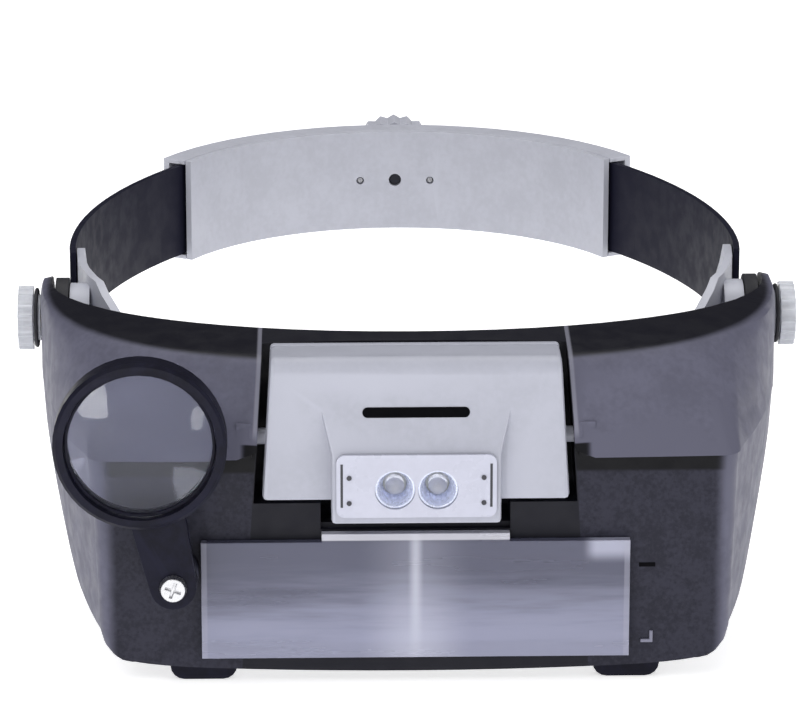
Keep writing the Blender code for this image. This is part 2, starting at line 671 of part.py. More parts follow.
def visor_shell():
    """The moulded visor: shelf, brow, recessed front panel, side walls and ears in one shell."""
    points = []
    faces = []
    for row in visor_rows():
        left = [Vector((-p.x, p.y, p.z)) for p in reversed(row[1:])]
        points.append(left + row)
    width = len(points[0])
    for r in range(len(points) - 1):
        for c in range(width - 1):
            first = r * width + c
            faces.append((first, first + width, first + width + 1, first + 1))
    mesh = bpy.data.meshes.new("visor_shell")
    mesh.from_pydata([p for row in points for p in row], [], faces)
    shell = wrap("visor_shell", mesh, VISOR_PLASTIC, origin=(0, PIVOT_Y, 0))
    wall = shell.modifiers.new("wall", "SOLIDIFY")
    wall.thickness = WALL
    wall.offset = -1
    wall.use_even_offset = True

    # boss that carries the loupe, lugs for the lamp case and lugs for the flip lens
    x, _, z = LOUPE_PIVOT
    join(shell, rod("loupe_boss", "Y", (x, 0, z), LOUPE_REAR_Y + GAP, PANEL_Y + 1.1 * MM, 6 * MM))
    for side in (-1, 1):
        low, high = between(side, 39.9 * MM, 43.6 * MM)
        join(shell, box("case_lug", (low, -129.3 * MM, -10.4 * MM), (high, -121.4 * MM, -1.6 * MM)))
        low, high = between(side, 62.0 * MM, 65.0 * MM)
        join(shell, box("flip_lug", (low, PANEL_Y + 1 * MM, -36 * MM), (high, -119 * MM, -28 * MM)))
    pocket = notch("lamp_pocket", WALL, POCKET_FLOOR_Z - 1.2 * MM, FACE_Y, POCKET_REAR_Y + 1 * MM)
    combine(pocket, plate("pocket_side", POCKET_SIDE, "YZ", -50 * MM, 50 * MM), "INTERSECT")
    join(shell, pocket)
    cut(shell, notch("lamp_notch", 0, POCKET_FLOOR_Z, -150 * MM, POCKET_REAR_Y - POCKET_WALL))
    low = (-NOTCH_HOOD_HALF, -150 * MM, NOTCH_BOTTOM_Z)
    high = (NOTCH_HOOD_HALF, PANEL_Y + WALL - 0.4 * MM, POCKET_FLOOR_Z + 1 * MM)
    cut(shell, box("tongue_room", low, high))
    seat = LENS_SEAT
    half = LENS_WIDTH / 2 - seat
    low, high = LENS_Z - LENS_HEIGHT / 2 + seat, LENS_Z + LENS_HEIGHT / 2 - seat
    cut(shell, box("lens_window", (-half, -140 * MM, low), (half, -120 * MM, high)))
    bore = LOUPE_SHANK + GAP
    cut(shell, rod("loupe_bore", "Y", (x, 0, z), -145 * MM, PANEL_Y + 0.6 * MM, bore, sides=16))
    for side in (-1, 1):
        low, high = between(side, 30 * MM, 42.6 * MM)
        lamp_axis = (0, LAMP_AXIS_Y, LAMP_AXIS_Z)
        cut(shell, rod("case_bore", "X", lamp_axis, low, high, CASE_PIN_RADIUS + GAP, sides=16))
        low, high = between(side, 60 * MM, 64.2 * MM)
        flip_axis = (0, FLIP_AXIS_Y, FLIP_AXIS_Z)
        cut(shell, rod("flip_bore", "X", flip_axis, low, high, TRUNNION_RADIUS + GAP, sides=16))
        low, high = between(side, 85 * MM, 110 * MM)
        cut(shell, rod("ear_bore", "X", (0, PIVOT_Y, 0), low, high, HOLE_RADIUS))
    smooth(shell, 30)


def main_lens():
    """The fixed magnifying plate, with a low tongue that rises into the lamp notch."""
    half = LENS_WIDTH / 2
    low, high = LENS_Z - LENS_HEIGHT / 2, LENS_Z + LENS_HEIGHT / 2
    tongue = 23.0 * MM
    top = -29.7 * MM
    outline = [
        (-half, low), (half, low), (half, high), (tongue, high),
        (tongue, top), (-tongue, top), (-tongue, high), (-half, high),
    ]
    plate("main_lens", outline, "XZ", LENS_FRONT_Y, LENS_FRONT_Y + LENS_THICK, CLEAR_ACRYLIC)


# ---- flip lens --------------------------------------------------------------------------------
FLIP_HALF = 60.5 * MM
FLIP_TOP_Z = FLIP_AXIS_Z + 1.3 * MM
FLIP_BOTTOM_Z = -63.3 * MM
FLIP_FRONT_Y = -124.5 * MM
FLIP_REAR_Y = FLIP_FRONT_Y + 3.6 * MM


def flip_frame():
    """The swinging second lens's frame, with a finger tab under each end."""
    axis = (0, FLIP_AXIS_Y, FLIP_AXIS_Z)
    tab_low, tab_in, tab_out = -69.2 * MM, 44 * MM, FLIP_HALF
    round_off = 3.5 * MM
    right = [
        (tab_in, FLIP_BOTTOM_Z),
        *arc((tab_in + round_off, tab_low + round_off), round_off, 180, 270, 4),
        *arc((tab_out - round_off, tab_low + round_off), round_off, 270, 360, 4),
        (tab_out, FLIP_TOP_Z),
    ]
    outline = right + [(-x, z) for x, z in reversed(right)]
    frame = plate("flip_frame", outline, "XZ", FLIP_FRONT_Y, FLIP_REAR_Y, LOUPE_PLASTIC, origin=axis)
    for side in (-1, 1):
        low, high = between(side, 59 * MM, 64.0 * MM)
        join(frame, rod("trunnion", "X", axis, low, high, TRUNNION_RADIUS, sides=16))
    window_half = 51.5 * MM
    low, high = -60.6 * MM, -33.4 * MM
    cut(frame, box("flip_window", (-window_half, -130 * MM, low), (window_half, -110 * MM, high)))
    groove = 1.2 * MM + GAP
    front = (FLIP_FRONT_Y + FLIP_REAR_Y) / 2 - 0.9 * MM
    rear = front + 1.8 * MM
    cut(frame, box(
        "flip_groove",
        (-window_half - groove, front - GAP, low - groove),
        (window_half + groove, rear + GAP, high + groove),
    ))
    reach = groove - GAP
    box(
        "flip_lens",
        (-window_half - reach, front, low - reach),
        (window_half + reach, rear, high + reach),
        CLEAR_ACRYLIC,
        origin=axis,
    )


# ---- loupe ------------------------------------------------------------------------------------
def loupe():
    """The round swing-down loupe, its ring on an arm that turns on a screw."""
    pivot = (LOUPE_PIVOT.x, 0, LOUPE_PIVOT.z)
    centre = LOUPE_PIVOT + LOUPE_ARM
    rear = LOUPE_REAR_Y
    front = LOUPE_REAR_Y - LOUPE_DEPTH
    bore = 18.4 * MM
    lip = 17.4 * MM
    along = LOUPE_ARM.normalized()
    across = Vector((along.z, 0, -along.x))

    def spot(forward, sideways):
        point = LOUPE_PIVOT + along * forward + across * sideways
        return point.x, point.z

    eye = 5.6 * MM
    eye_turns = [math.radians(180 + 180 * k / 12) for k in range(13)]
    outline = [spot(eye * math.sin(t), eye * math.cos(t)) for t in eye_turns]
    outline += [spot(20 * MM, 6.8 * MM), spot(20 * MM, -6.8 * MM)]
    arm = plate("loupe_frame", outline, "XZ", rear - 4.0 * MM, rear, LOUPE_PLASTIC, origin=pivot)
    ring = turned(
        "loupe_ring", "Y", (centre.x, 0, centre.z),
        [
            (LOUPE_RADIUS - 0.8 * MM, rear), (LOUPE_RADIUS, rear - 0.8 * MM),
            (LOUPE_RADIUS, front + 0.8 * MM), (LOUPE_RADIUS - 0.8 * MM, front),
            (bore, front), (bore, rear - 1.2 * MM), (lip, rear - 1.2 * MM), (lip, rear),
        ],
        steps=48,
    )
    # the arm stops inside the thickness of the ring
    inside = LOUPE_RADIUS - 1.2 * MM
    depth = (rear - 9 * MM, rear + 1 * MM)
    cut(arm, rod("ring_bore", "Y", (centre.x, 0, centre.z), *depth, inside, sides=48))
    join(arm, ring)
    cut(arm, rod("eye_bore", "Y", pivot, *depth, LOUPE_SHANK + GAP, sides=16))
    smooth(arm)

    glass_radius = bore - GAP
    middle = rear - 2.8 * MM
    edge = 1.3 * MM
    bulge = 1.2 * MM
    ball = (glass_radius**2 + bulge**2) / (2 * bulge)
    span = math.asin(glass_radius / ball)
    steps = 5
    turns = [span * k / steps for k in range(steps + 1)]
    back = [(ball * math.sin(t), middle + edge + bulge - ball * (1 - math.cos(t))) for t in turns]
    face = [(r, 2 * middle - y) for r, y in reversed(back)]
    lens = turned("loupe_lens", "Y", (centre.x, 0, centre.z), back + face, CLEAR_ACRYLIC, steps=40)
    lens.data.shade_smooth()
    turned(
        "loupe_retainer", "Y", (centre.x, 0, centre.z),
        [
            (glass_radius, middle - edge - GAP), (glass_radius, middle - edge - 1.5 * MM),
            (lip, middle - edge - 1.5 * MM), (lip, middle - edge - GAP),
        ],
        LOUPE_PLASTIC, steps=40,
    )


def loupe_screw():
    x, _, z = LOUPE_PIVOT
    at = (x, 0, z)
    head_rear = LOUPE_REAR_Y - 4.0 * MM - GAP
    head_front = head_rear - 2.0 * MM
    screw = rod("loupe_screw", "Y", at, head_front, head_rear, 2.9 * MM, STEEL, end_radius=3.4 * MM)
    shank = (head_rear - 0.5 * MM, PANEL_Y - 0.5 * MM)
    join(screw, rod("loupe_shank", "Y", at, *shank, LOUPE_SHANK, sides=16))
    for turn in (0, 90):
        slot = box("cross_slot", (-2.0 * MM, 0, -0.35 * MM), (2.0 * MM, 1.9 * MM, 0.35 * MM))
        slot.location = (x, head_front - 1.0 * MM, z)
        slot.rotation_euler = (0, math.radians(turn + 20), 0)
        cut(screw, slot)
    smooth(screw)


# ---- lamp case --------------------------------------------------------------------------------
def case_outline(inset=0.0):
    return [
        (-CASE_BOTTOM_HALF + inset, CASE_BOTTOM_Z + inset),
        (CASE_BOTTOM_HALF - inset, CASE_BOTTOM_Z + inset),
        (CASE_TOP_HALF - inset, CASE_TOP_Z - inset),
        (-CASE_TOP_HALF + inset, CASE_TOP_Z - inset),
    ]


def lamp_case():
    """The battery and lamp case: a tapered box with a lamp hood that stands out below."""
    axis = (0, LAMP_AXIS_Y, LAMP_AXIS_Z)
    split_y = CASE_REAR_Y - 2.7 * MM
    case = plate("lamp_case", case_outline(), "XZ", CASE_FRONT_Y, split_y, PALE_PLASTIC, origin=axis)
    round_off = 4.0 * MM
    side_view = [
        (split_y, CASE_BOTTOM_Z), (split_y, CASE_TOP_Z),
        *arc((CASE_FRONT_Y + round_off, CASE_TOP_Z - round_off), round_off, 90, 180, 5),
        (CASE_FRONT_Y, CASE_BOTTOM_Z),
    ]
    combine(case, plate("case_side", side_view, "YZ", -50 * MM, 50 * MM), "INTERSECT")
    soften(case, 1.2 * MM, 2, 50)
    # the hood is wider where it grows out of the face of the case
    flare_half, flare_z, brow_z = LAMP_HALF + 3.5 * MM, 6.6 * MM, -7.8 * MM
    hood_front = [
        (-LAMP_HALF, LAMP_BOTTOM_Z), (LAMP_HALF, LAMP_BOTTOM_Z), (LAMP_HALF, brow_z),
        (flare_half, flare_z), (-flare_half, flare_z), (-LAMP_HALF, brow_z),
    ]
    hood_side = [
        (split_y, -12 * MM), (CASE_FRONT_Y + 1 * MM, 6.3 * MM), (LAMP_FRONT_Y, brow_z),
        (LAMP_FRONT_Y, LAMP_BOTTOM_Z), (-124 * MM, LAMP_BOTTOM_Z),
        (split_y, CASE_BOTTOM_Z - 0.6 * MM),
    ]
    hood = plate("hood", hood_front, "XZ", LAMP_FRONT_Y, split_y)
    combine(hood, plate("hood_side", hood_side, "YZ", -50 * MM, 50 * MM), "INTERSECT")
    soften(hood, 0.9 * MM, 2)
    join(case, hood)
    cut(case, plate("case_hollow", case_outline(CASE_WALL), "XZ", CASE_FRONT_Y + CASE_WALL, -110 * MM))
    hollow_front = LAMP_FRONT_Y + 1.5 * MM
    hollow = [
        (split_y + 5 * MM, -11 * MM), (hollow_front, -11 * MM),
        (hollow_front, LAMP_BOTTOM_Z + CASE_WALL), (-125 * MM, LAMP_BOTTOM_Z + CASE_WALL),
        (split_y - 1.2 * MM, -19 * MM), (split_y + 5 * MM, -19 * MM),
    ]
    cut(case, plate("hood_hollow", hollow, "YZ", CASE_WALL - LAMP_HALF, LAMP_HALF - CASE_WALL))
    for side in (-1, 1):
        at = (side * LED_OFFSET, 0, LED_Z)
        cut(case, rod("led_bore", "Y", at, -140 * MM, -131 * MM, 5.3 * MM, sides=32))
        low, high = between(side, 36.0 * MM, 42.3 * MM)
        join(case, rod("case_pin", "X", axis, low, high, CASE_PIN_RADIUS, sides=16))
    cut(case, box("switch_slot", (25 * MM, -127 * MM, -24 * MM), (33 * MM, -123.6 * MM, -17 * MM)))
    smooth(case)

    depth = (split_y + GAP, CASE_REAR_Y)
    back = plate("case_back", case_outline(), "XZ", *depth, PALE_PLASTIC, origin=axis)
    soften(back, 0.8 * MM, 2)
    for side, label in ((1, "right"), (-1, "left")):
        at = (side * 31 * MM, 0, 0)
        cut(back, rod("back_hole", "Y", at, -125 * MM, -110 * MM, 1.2 * MM + GAP, sides=16))
        cut(back, rod("back_sink", "Y", at, -117.9 * MM, -110 * MM, 2.4 * MM + GAP, sides=20))
        post = rod("post_" + label, "Y", at, CASE_FRONT_Y + 1 * MM, split_y, 3.2 * MM, sides=20)
        join(case, post)
        cut(case, rod("post_bore", "Y", at, -129 * MM, -110 * MM, 1.2 * MM + GAP, sides=16))
        screw = rod("case_screw_" + label, "Y", at, -127.5 * MM, -117.8 * MM, 1.2 * MM, STEEL, sides=16)
        join(screw, rod("screw_head", "Y", at, -117.6 * MM - GAP, -116.7 * MM, 2.4 * MM, sides=20))
    smooth(back)


def lamp_bezel():
    """The bright plate round the two reflectors."""
    low = (-19.4 * MM, -23.2 * MM)
    high = (19.4 * MM, -7.4 * MM)
    front = LAMP_FRONT_Y - 1.1 * MM
    outline = rounded(low, high, 2 * MM)
    bezel = plate("lamp_bezel", outline, "XZ", front, LAMP_FRONT_Y - GAP, BEZEL_PLASTIC)
    clear = front - 5 * MM
    for side in (-1, 1):
        at = (side * LED_OFFSET, 0, LED_Z)
        cut(bezel, rod("bezel_hole", "Y", at, clear, LAMP_FRONT_Y + 5 * MM, 4.9 * MM, sides=32))
        for way in (-1, 1):
            at = (side * 16.3 * MM, 0, LED_Z + way * 3.2 * MM)
            cut(bezel, rod("dimple", "Y", at, clear, front + 0.5 * MM, 0.6 * MM, sides=10))
    smooth(bezel)


def lamp_works():
    """Reflectors, LEDs and their board, in the hood."""
    board_front = -130.6 * MM
    board_half, board_thick = 17 * MM, 1.2 * MM
    low = (-board_half, board_front, -23.0 * MM)
    high = (board_half, board_front + board_thick, -11.4 * MM)
    box("circuit_board", low, high, BOARD_WHITE)
    rear = board_front - 0.4 * MM
    front = LAMP_FRONT_Y - GAP + 0.1 * MM
    for side, label in ((1, "right"), (-1, "left")):
        at = (side * LED_OFFSET, 0, LED_Z)
        turned(
            "reflector_" + label, "Y", at,
            [
                (3.6 * MM, rear), (4.9 * MM, front + 0.2 * MM), (4.9 * MM, front),
                (4.4 * MM, front), (2.9 * MM, rear - 0.4 * MM), (2.9 * MM, rear),
            ],
            CHROME, steps=32,
        )
        dome = 2.3 * MM
        tip = [
            (dome * math.cos(math.radians(t)), rear - 1.9 * MM - dome * math.sin(math.radians(t)))
            for t in (0, 30, 60)
        ]
        turned(
            "led_" + label, "Y", at,
            [(0, rear + 0.1 * MM), (dome, rear + 0.1 * MM), *tip, (0, rear - 1.9 * MM - dome)],
            LED_RESIN, steps=20,
        )


def batteries():
    """Two small cells lying side by side, with a contact at each end."""
    half = 22.25 * MM
    radius = 5.1 * MM
    y = -124.9 * MM
    for z, label, way in ((6.2 * MM, "upper", 1), (-4.6 * MM, "lower", -1)):
        profile = [
            (0, half), (1.9 * MM, half), (1.9 * MM, half - 1 * MM), (radius, half - 1 * MM),
            (radius, -half), (0, -half),
        ]
        cell = turned("battery_" + label, "X", (0, y, z), profile, CELL_JACKET, steps=24)
        if way < 0:
            cell.rotation_euler = (0, -math.pi / 2, 0)
    for side, label in ((1, "right"), (-1, "left")):
        low, high = between(side, 23.0 * MM, 23.8 * MM)
        spring = box(
            "battery_contact_" + label,
            (low, y - 4 * MM, -8.6 * MM), (high, y + 4 * MM, 10.2 * MM), STEEL,
        )
        low, high = between(side, 23.5 * MM, 25.2 * MM)
        join(spring, box("contact_fold", (low, y - 4 * MM, 2 * MM), (high, y - 3.2 * MM, 10.2 * MM)))


def lamp_switch():
    """The slide switch, its body over the slot in the underside of the case."""
    low, high = (25.2 * MM, -127.6 * MM, -17.6 * MM), (32.8 * MM, -122.8 * MM, -13.0 * MM)
    body = box("switch_body", low, high, BLACK_RUBBER)
    low, high = (25.9 * MM, -126.6 * MM, -18.0 * MM), (32.1 * MM, -123.8 * MM, -15.4 * MM)
    cut(body, box("switch_cavity", low, high))
    start = (27.4 * MM, -125.2 * MM, -20 * MM)
    slider = box(
        "switch_slider",
        (26.3 * MM, -126.2 * MM, CASE_BOTTOM_Z - 1.6 * MM), (28.7 * MM, -124.2 * MM, -15.8 * MM),
        BLACK_RUBBER, origin=start,
    )
    soften(slider, 0.3 * MM, 1)


# ---- rear unit --------------------------------------------------------------------------------
def rear_strip(inner, outer, half_angle, count=22):
    turns = [mix(-half_angle, half_angle, k / count) for k in range(count + 1)]
    there = [(inner * math.sin(t), REAR_ARC_Y + inner * math.cos(t)) for t in turns]
    back = [(outer * math.sin(t), REAR_ARC_Y + outer * math.cos(t)) for t in reversed(turns)]
    return there + back


def rear_unit():
    """The two-piece cover at the back of the head that holds the strap tongues."""
    half = REAR_HEIGHT / 2
    wall = 1.8 * MM
    inner = plate(
        "rear_cover_inner",
        rear_strip(REAR_INNER_RADIUS, REAR_INNER_RADIUS + wall, REAR_HALF_ANGLE),
        "XY", -half, half, PALE_PLASTIC,
    )
    outer = plate(
        "rear_cover_outer",
        rear_strip(REAR_INNER_RADIUS + wall + GAP, REAR_OUTER_RADIUS, REAR_HALF_ANGLE),
        "XY", -half, half, PALE_PLASTIC,
    )
    space = STRAP_HEIGHT / 2 + GAP
    cut(outer, plate(
        "rear_hollow",
        rear_strip(REAR_INNER_RADIUS - 5 * MM, REAR_OUTER_RADIUS - wall, REAR_HALF_ANGLE + 0.1),
        "XY", -space, space,
    ))
    far = REAR_ARC_Y + REAR_OUTER_RADIUS
    cut(outer, rod("shaft_bore", "Y", (0, 0, 0), 100 * MM, far + 5 * MM, 3.0 * MM + GAP))
    cut(inner, rod("middle_hole", "Y", (0, 0, 0), 95 * MM, 108 * MM, 1.8 * MM))
    for side, label in ((1, "right"), (-1, "left")):
        at = (side * 10.2 * MM, 0, 0)
        face = REAR_ARC_Y + REAR_INNER_RADIUS - 0.8 * MM
        post = (face + wall + 3 * GAP, far - 2.4 * MM)
        join(outer, rod("cover_post", "Y", at, *post, 2.6 * MM, sides=20))
        cut(outer, rod("post_bore", "Y", at, 95 * MM, far - 2.8 * MM, 0.8 * MM + GAP, sides=16))
        cut(inner, rod("screw_hole", "Y", at, 95 * MM, 108 * MM, 0.8 * MM + GAP, sides=16))
        rod("rear_screw_" + label, "Y", at, face + 0.5 * MM, far - 3.4 * MM, 0.8 * MM, STEEL, sides=16)
    smooth(inner)
    smooth(outer)


def size_adjuster():
    """Knob, pinion and screw that draw both strap tongues in or out."""
    far = REAR_ARC_Y + REAR_OUTER_RADIUS
    shaft_end = far + 6 * MM
    tip, root = PINION_PITCH + 0.6 * MM, PINION_PITCH - 0.6 * MM
    outline = []
    for k in range(PINION_TEETH):
        turn = 2 * math.pi * k / PINION_TEETH + math.pi / 2
        for radius, spread in ((root, -0.65), (tip, -0.25), (tip, 0.25), (root, 0.65)):
            lean = spread * MM / radius
            outline.append((radius * math.cos(turn + lean), radius * math.sin(turn + lean)))
    pinion = plate("pinion", outline, "XZ", PINION_Y, PINION_Y + 2.6 * MM, BLACK_RUBBER)
    join(pinion, rod("shaft", "Y", (0, 0, 0), PINION_Y + 2.0 * MM, shaft_end, 3.0 * MM))
    middle = (0, 0, 0)
    shank = 0.9 * MM
    cut(pinion, rod("pinion_bore", "Y", middle, 95 * MM, PINION_Y + 7 * MM, shank + GAP, sides=16))
    head = PINION_Y - GAP
    screw = rod("pinion_screw", "Y", middle, head - 1.2 * MM, head, 1.5 * MM, STEEL, sides=20)
    depth = (head - 0.3 * MM, PINION_Y + 6.4 * MM)
    join(screw, rod("pinion_shank", "Y", middle, *depth, shank, sides=16))

    ribs = 24
    radius = 15.2 * MM
    ring = []
    for k in range(ribs * 4):
        turn = 2 * math.pi * k / (ribs * 4)
        reach = radius - 0.5 * MM * (1 - math.cos(ribs * turn))
        ring.append((reach * math.cos(turn), reach * math.sin(turn)))
    knob = plate("size_knob", ring, "XZ", far + 0.6 * MM, far + 10 * MM, PALE_PLASTIC)
    cut(knob, rod("knob_socket", "Y", (0, 0, 0), far - 2 * MM, shaft_end + GAP, 3.0 * MM + GAP))


front_band()
brow_pad()
strap(-1, "left")
strap(1, "right")
strap_rivets()
pivot_set(-1, "left")
pivot_set(1, "right")
visor_shell()
main_lens()
flip_frame()
loupe()
loupe_screw()
lamp_case()
lamp_bezel()
lamp_works()
batteries()
lamp_switch()
rear_unit()
size_adjuster()
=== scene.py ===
"""Looks for the head visor magnifier: materials, trim, padded brow cushion, light and camera."""
import json
import math

import bmesh
import bpy
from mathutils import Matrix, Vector
from mathutils.bvhtree import BVHTree

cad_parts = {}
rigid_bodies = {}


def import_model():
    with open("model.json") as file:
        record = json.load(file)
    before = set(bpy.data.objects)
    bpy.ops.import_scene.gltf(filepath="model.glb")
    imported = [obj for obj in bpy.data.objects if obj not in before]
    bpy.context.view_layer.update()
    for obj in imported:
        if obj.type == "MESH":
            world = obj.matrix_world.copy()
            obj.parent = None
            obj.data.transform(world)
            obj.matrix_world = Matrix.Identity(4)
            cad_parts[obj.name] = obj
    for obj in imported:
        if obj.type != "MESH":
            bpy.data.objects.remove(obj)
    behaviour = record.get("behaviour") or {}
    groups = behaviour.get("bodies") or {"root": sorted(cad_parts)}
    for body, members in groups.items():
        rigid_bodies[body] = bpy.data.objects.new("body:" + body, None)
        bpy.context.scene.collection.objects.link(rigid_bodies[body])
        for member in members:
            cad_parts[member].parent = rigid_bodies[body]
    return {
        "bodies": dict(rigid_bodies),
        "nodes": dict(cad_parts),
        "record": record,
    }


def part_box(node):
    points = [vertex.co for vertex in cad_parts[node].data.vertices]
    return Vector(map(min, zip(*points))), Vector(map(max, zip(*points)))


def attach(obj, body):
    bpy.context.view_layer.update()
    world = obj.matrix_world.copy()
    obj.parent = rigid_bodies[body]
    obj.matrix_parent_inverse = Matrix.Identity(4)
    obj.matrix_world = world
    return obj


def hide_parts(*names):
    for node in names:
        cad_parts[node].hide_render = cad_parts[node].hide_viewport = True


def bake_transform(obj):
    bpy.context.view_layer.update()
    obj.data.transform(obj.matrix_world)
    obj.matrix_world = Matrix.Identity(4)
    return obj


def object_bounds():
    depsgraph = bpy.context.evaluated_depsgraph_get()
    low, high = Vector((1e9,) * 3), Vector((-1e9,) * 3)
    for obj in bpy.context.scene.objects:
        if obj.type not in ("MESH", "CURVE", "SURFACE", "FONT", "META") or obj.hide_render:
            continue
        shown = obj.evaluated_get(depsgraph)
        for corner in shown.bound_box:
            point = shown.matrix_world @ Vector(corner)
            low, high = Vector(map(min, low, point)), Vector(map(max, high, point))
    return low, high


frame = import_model()
CAD_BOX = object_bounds()
NODES = frame["nodes"]
MM = 0.001
SHARP_ANGLE = 32
SIDES = ((-1, "left"), (1, "right"))


# ---- places on the object ---------------------------------------------------------------------
def joint_place(name):
    """Where a joint's axis is."""
    joints = frame["record"]["behaviour"]["joints"]
    return Vector(next(joint["pos_m"] for joint in joints if joint["name"] == name))


def body_of(name):
    """The body that a node moves with."""
    holder = NODES[name].parent
    return next(body for body, empty in frame["bodies"].items() if empty == holder)


LAMP_AXIS = joint_place("lamp_tilt")
EAR_AXIS = joint_place("visor_tilt")
LENS_LOW, LENS_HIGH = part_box("main_lens")
BEZEL_LOW, BEZEL_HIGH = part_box("lamp_bezel")
VISOR_LOW, VISOR_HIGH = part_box("visor_shell")
# the underside of the ledge over the recessed panel, which is higher beside the lamp
LEDGE = LAMP_AXIS.z - 3.8 * MM
LEDGE_AT_LAMP = LAMP_AXIS.z


# ---- a small kit for node materials -------------------------------------------------------------
class Paint:
    """A Principled material that is built up from procedural nodes in object space."""

    def __init__(self, name, colour, roughness, metallic=0.0):
        self.material = bpy.data.materials.new(name)
        self.material.use_nodes = True
        self.tree = self.material.node_tree
        self.shader = self.tree.nodes["Principled BSDF"]
        self.fix("Metallic", metallic)
        self.fix("Roughness", roughness)
        self.fix("Base Color", (*colour, 1.0))
        self.colour = None
        self.rough = None
        self.normal = None
        self.place = self.node("TexCoord").outputs["Object"]

    def fix(self, socket, value):
        """Puts a constant straight on the shader."""
        self.shader.inputs[socket].default_value = value

    def node(self, kind, **settings):
        made = self.tree.nodes.new("ShaderNode" + kind)
        for key, value in settings.items():
            setattr(made, key, value)
        return made

    def feed(self, socket, value):
        """Links a node's output to a socket, or sets the socket to a number or a colour."""
        if isinstance(value, bpy.types.NodeSocket):
            self.tree.links.new(value, socket)
        elif isinstance(value, tuple) and len(value) == 3 and socket.type == "RGBA":
            socket.default_value = (*value, 1.0)
        else:
            socket.default_value = value

    def axis(self, name):
        made = self.node("SeparateXYZ")
        self.feed(made.inputs[0], self.place)
        return made.outputs[name]

    def stretched(self, x=1.0, y=1.0, z=1.0):
        """Object space with its axes scaled: a feature gets longer where the number is small."""
        mapping = self.node("Mapping")
        self.feed(mapping.inputs["Vector"], self.place)
        mapping.inputs["Scale"].default_value = (x, y, z)
        return mapping.outputs["Vector"]

    def noise(self, size, detail=3.0, place=None):
        """Cloudy noise whose features are about `size` metres across, from 0 to 1."""
        made = self.node("TexNoise")
        self.feed(made.inputs["Vector"], place or self.place)
        made.inputs["Scale"].default_value = 1.0 / size
        made.inputs["Detail"].default_value = detail
        made.inputs["Roughness"].default_value = 0.55
        return made.outputs["Fac"]

    def cells(self, size):
        """Distance to the nearest of many scattered points, about `size` metres apart."""
        made = self.node("TexVoronoi")
        self.feed(made.inputs["Vector"], self.place)
        made.inputs["Scale"].default_value = 1.0 / size
        return made.outputs["Distance"]

    def waves(self, size, axis="X", distortion=0.0, place=None):
        """Soft bands that repeat every `size` metres."""
        # a wave node of scale 1 repeats every 2 pi / 20 metres
        made = self.node("TexWave", wave_type="BANDS", bands_direction=axis)
        self.feed(made.inputs["Vector"], place or self.place)
        made.inputs["Scale"].default_value = 2 * math.pi / (20 * size)
        made.inputs["Distortion"].default_value = distortion
        return made.outputs["Fac"]

    def maths(self, operation, a, b=0.0):
        made = self.node("Math", operation=operation)
        self.feed(made.inputs[0], a)
        self.feed(made.inputs[1], b)
        return made.outputs[0]

    def times(self, first, *others):
        """The product of all of these."""
        for other in others:
            first = self.maths("MULTIPLY", first, other)
        return first

    def mapped(self, value, low, high, out_low, out_high, **settings):
        """Brings low and high to out_low and out_high."""
        made = self.node("MapRange", **settings)
        self.feed(made.inputs["Value"], value)
        made.inputs["From Min"].default_value = low
        made.inputs["From Max"].default_value = high
        made.inputs["To Min"].default_value = out_low
        made.inputs["To Max"].default_value = out_high
        return made.outputs["Result"]

    def line(self, value, low, high, out_low, out_high):
        """A straight line, which goes on past low and high."""
        return self.mapped(
            value, low, high, out_low, out_high, clamp=False, interpolation_type="LINEAR",
        )

    def span(self, value, low, high, out_low=0.0, out_high=1.0):
        """A smooth step, which stays level before low and after high."""
        return self.mapped(
            value, low, high, out_low, out_high, clamp=True, interpolation_type="SMOOTHSTEP",
        )

    def above(self, value, edge, soft):
        """0 up to an edge, then rising to 1 over the distance `soft`."""
        return self.span(value, edge, edge + soft, 0.0, 1.0)

    def below(self, value, edge, soft):
        """1 up to an edge, then falling to 0 over the distance `soft`."""
        return self.span(value, edge, edge + soft, 1.0, 0.0)

    def blend(self, share, a, b):
        """Colour a where share is 0, colour b where it is 1."""
        made = self.node("Mix", data_type="RGBA", clamp_factor=True)
        self.feed(made.inputs[0], share)
        self.feed(made.inputs[6], a)
        self.feed(made.inputs[7], b)
        return made.outputs[2]

    def coat(self, share, colour):
        """Covers a share of the colour so far with another."""
        self.colour = self.blend(share, self.colour, colour)

    def edges(self):
        """1 on outward edges, 0 on flat and hollow places."""
        made = self.node("NewGeometry")
        return self.span(made.outputs["Pointiness"], 0.52, 0.6)

    def bump(self, height, strength, distance):
        """Adds relief on top of the relief so far."""
        made = self.node("Bump")
        made.inputs["Strength"].default_value = strength
        made.inputs["Distance"].default_value = distance
        self.feed(made.inputs["Height"], height)
        if self.normal is not None:
            self.feed(made.inputs["Normal"], self.normal)
        self.normal = made.outputs["Normal"]

    def done(self):
        if self.colour is not None:
            self.feed(self.shader.inputs["Base Color"], self.colour)
        if self.rough is not None:
            self.feed(self.shader.inputs["Roughness"], self.rough)
        if self.normal is not None:
            self.feed(self.shader.inputs["Normal"], self.normal)
        return self.material


def shade(colour, factor):
    return tuple(min(1.0, channel * factor) for channel in colour)


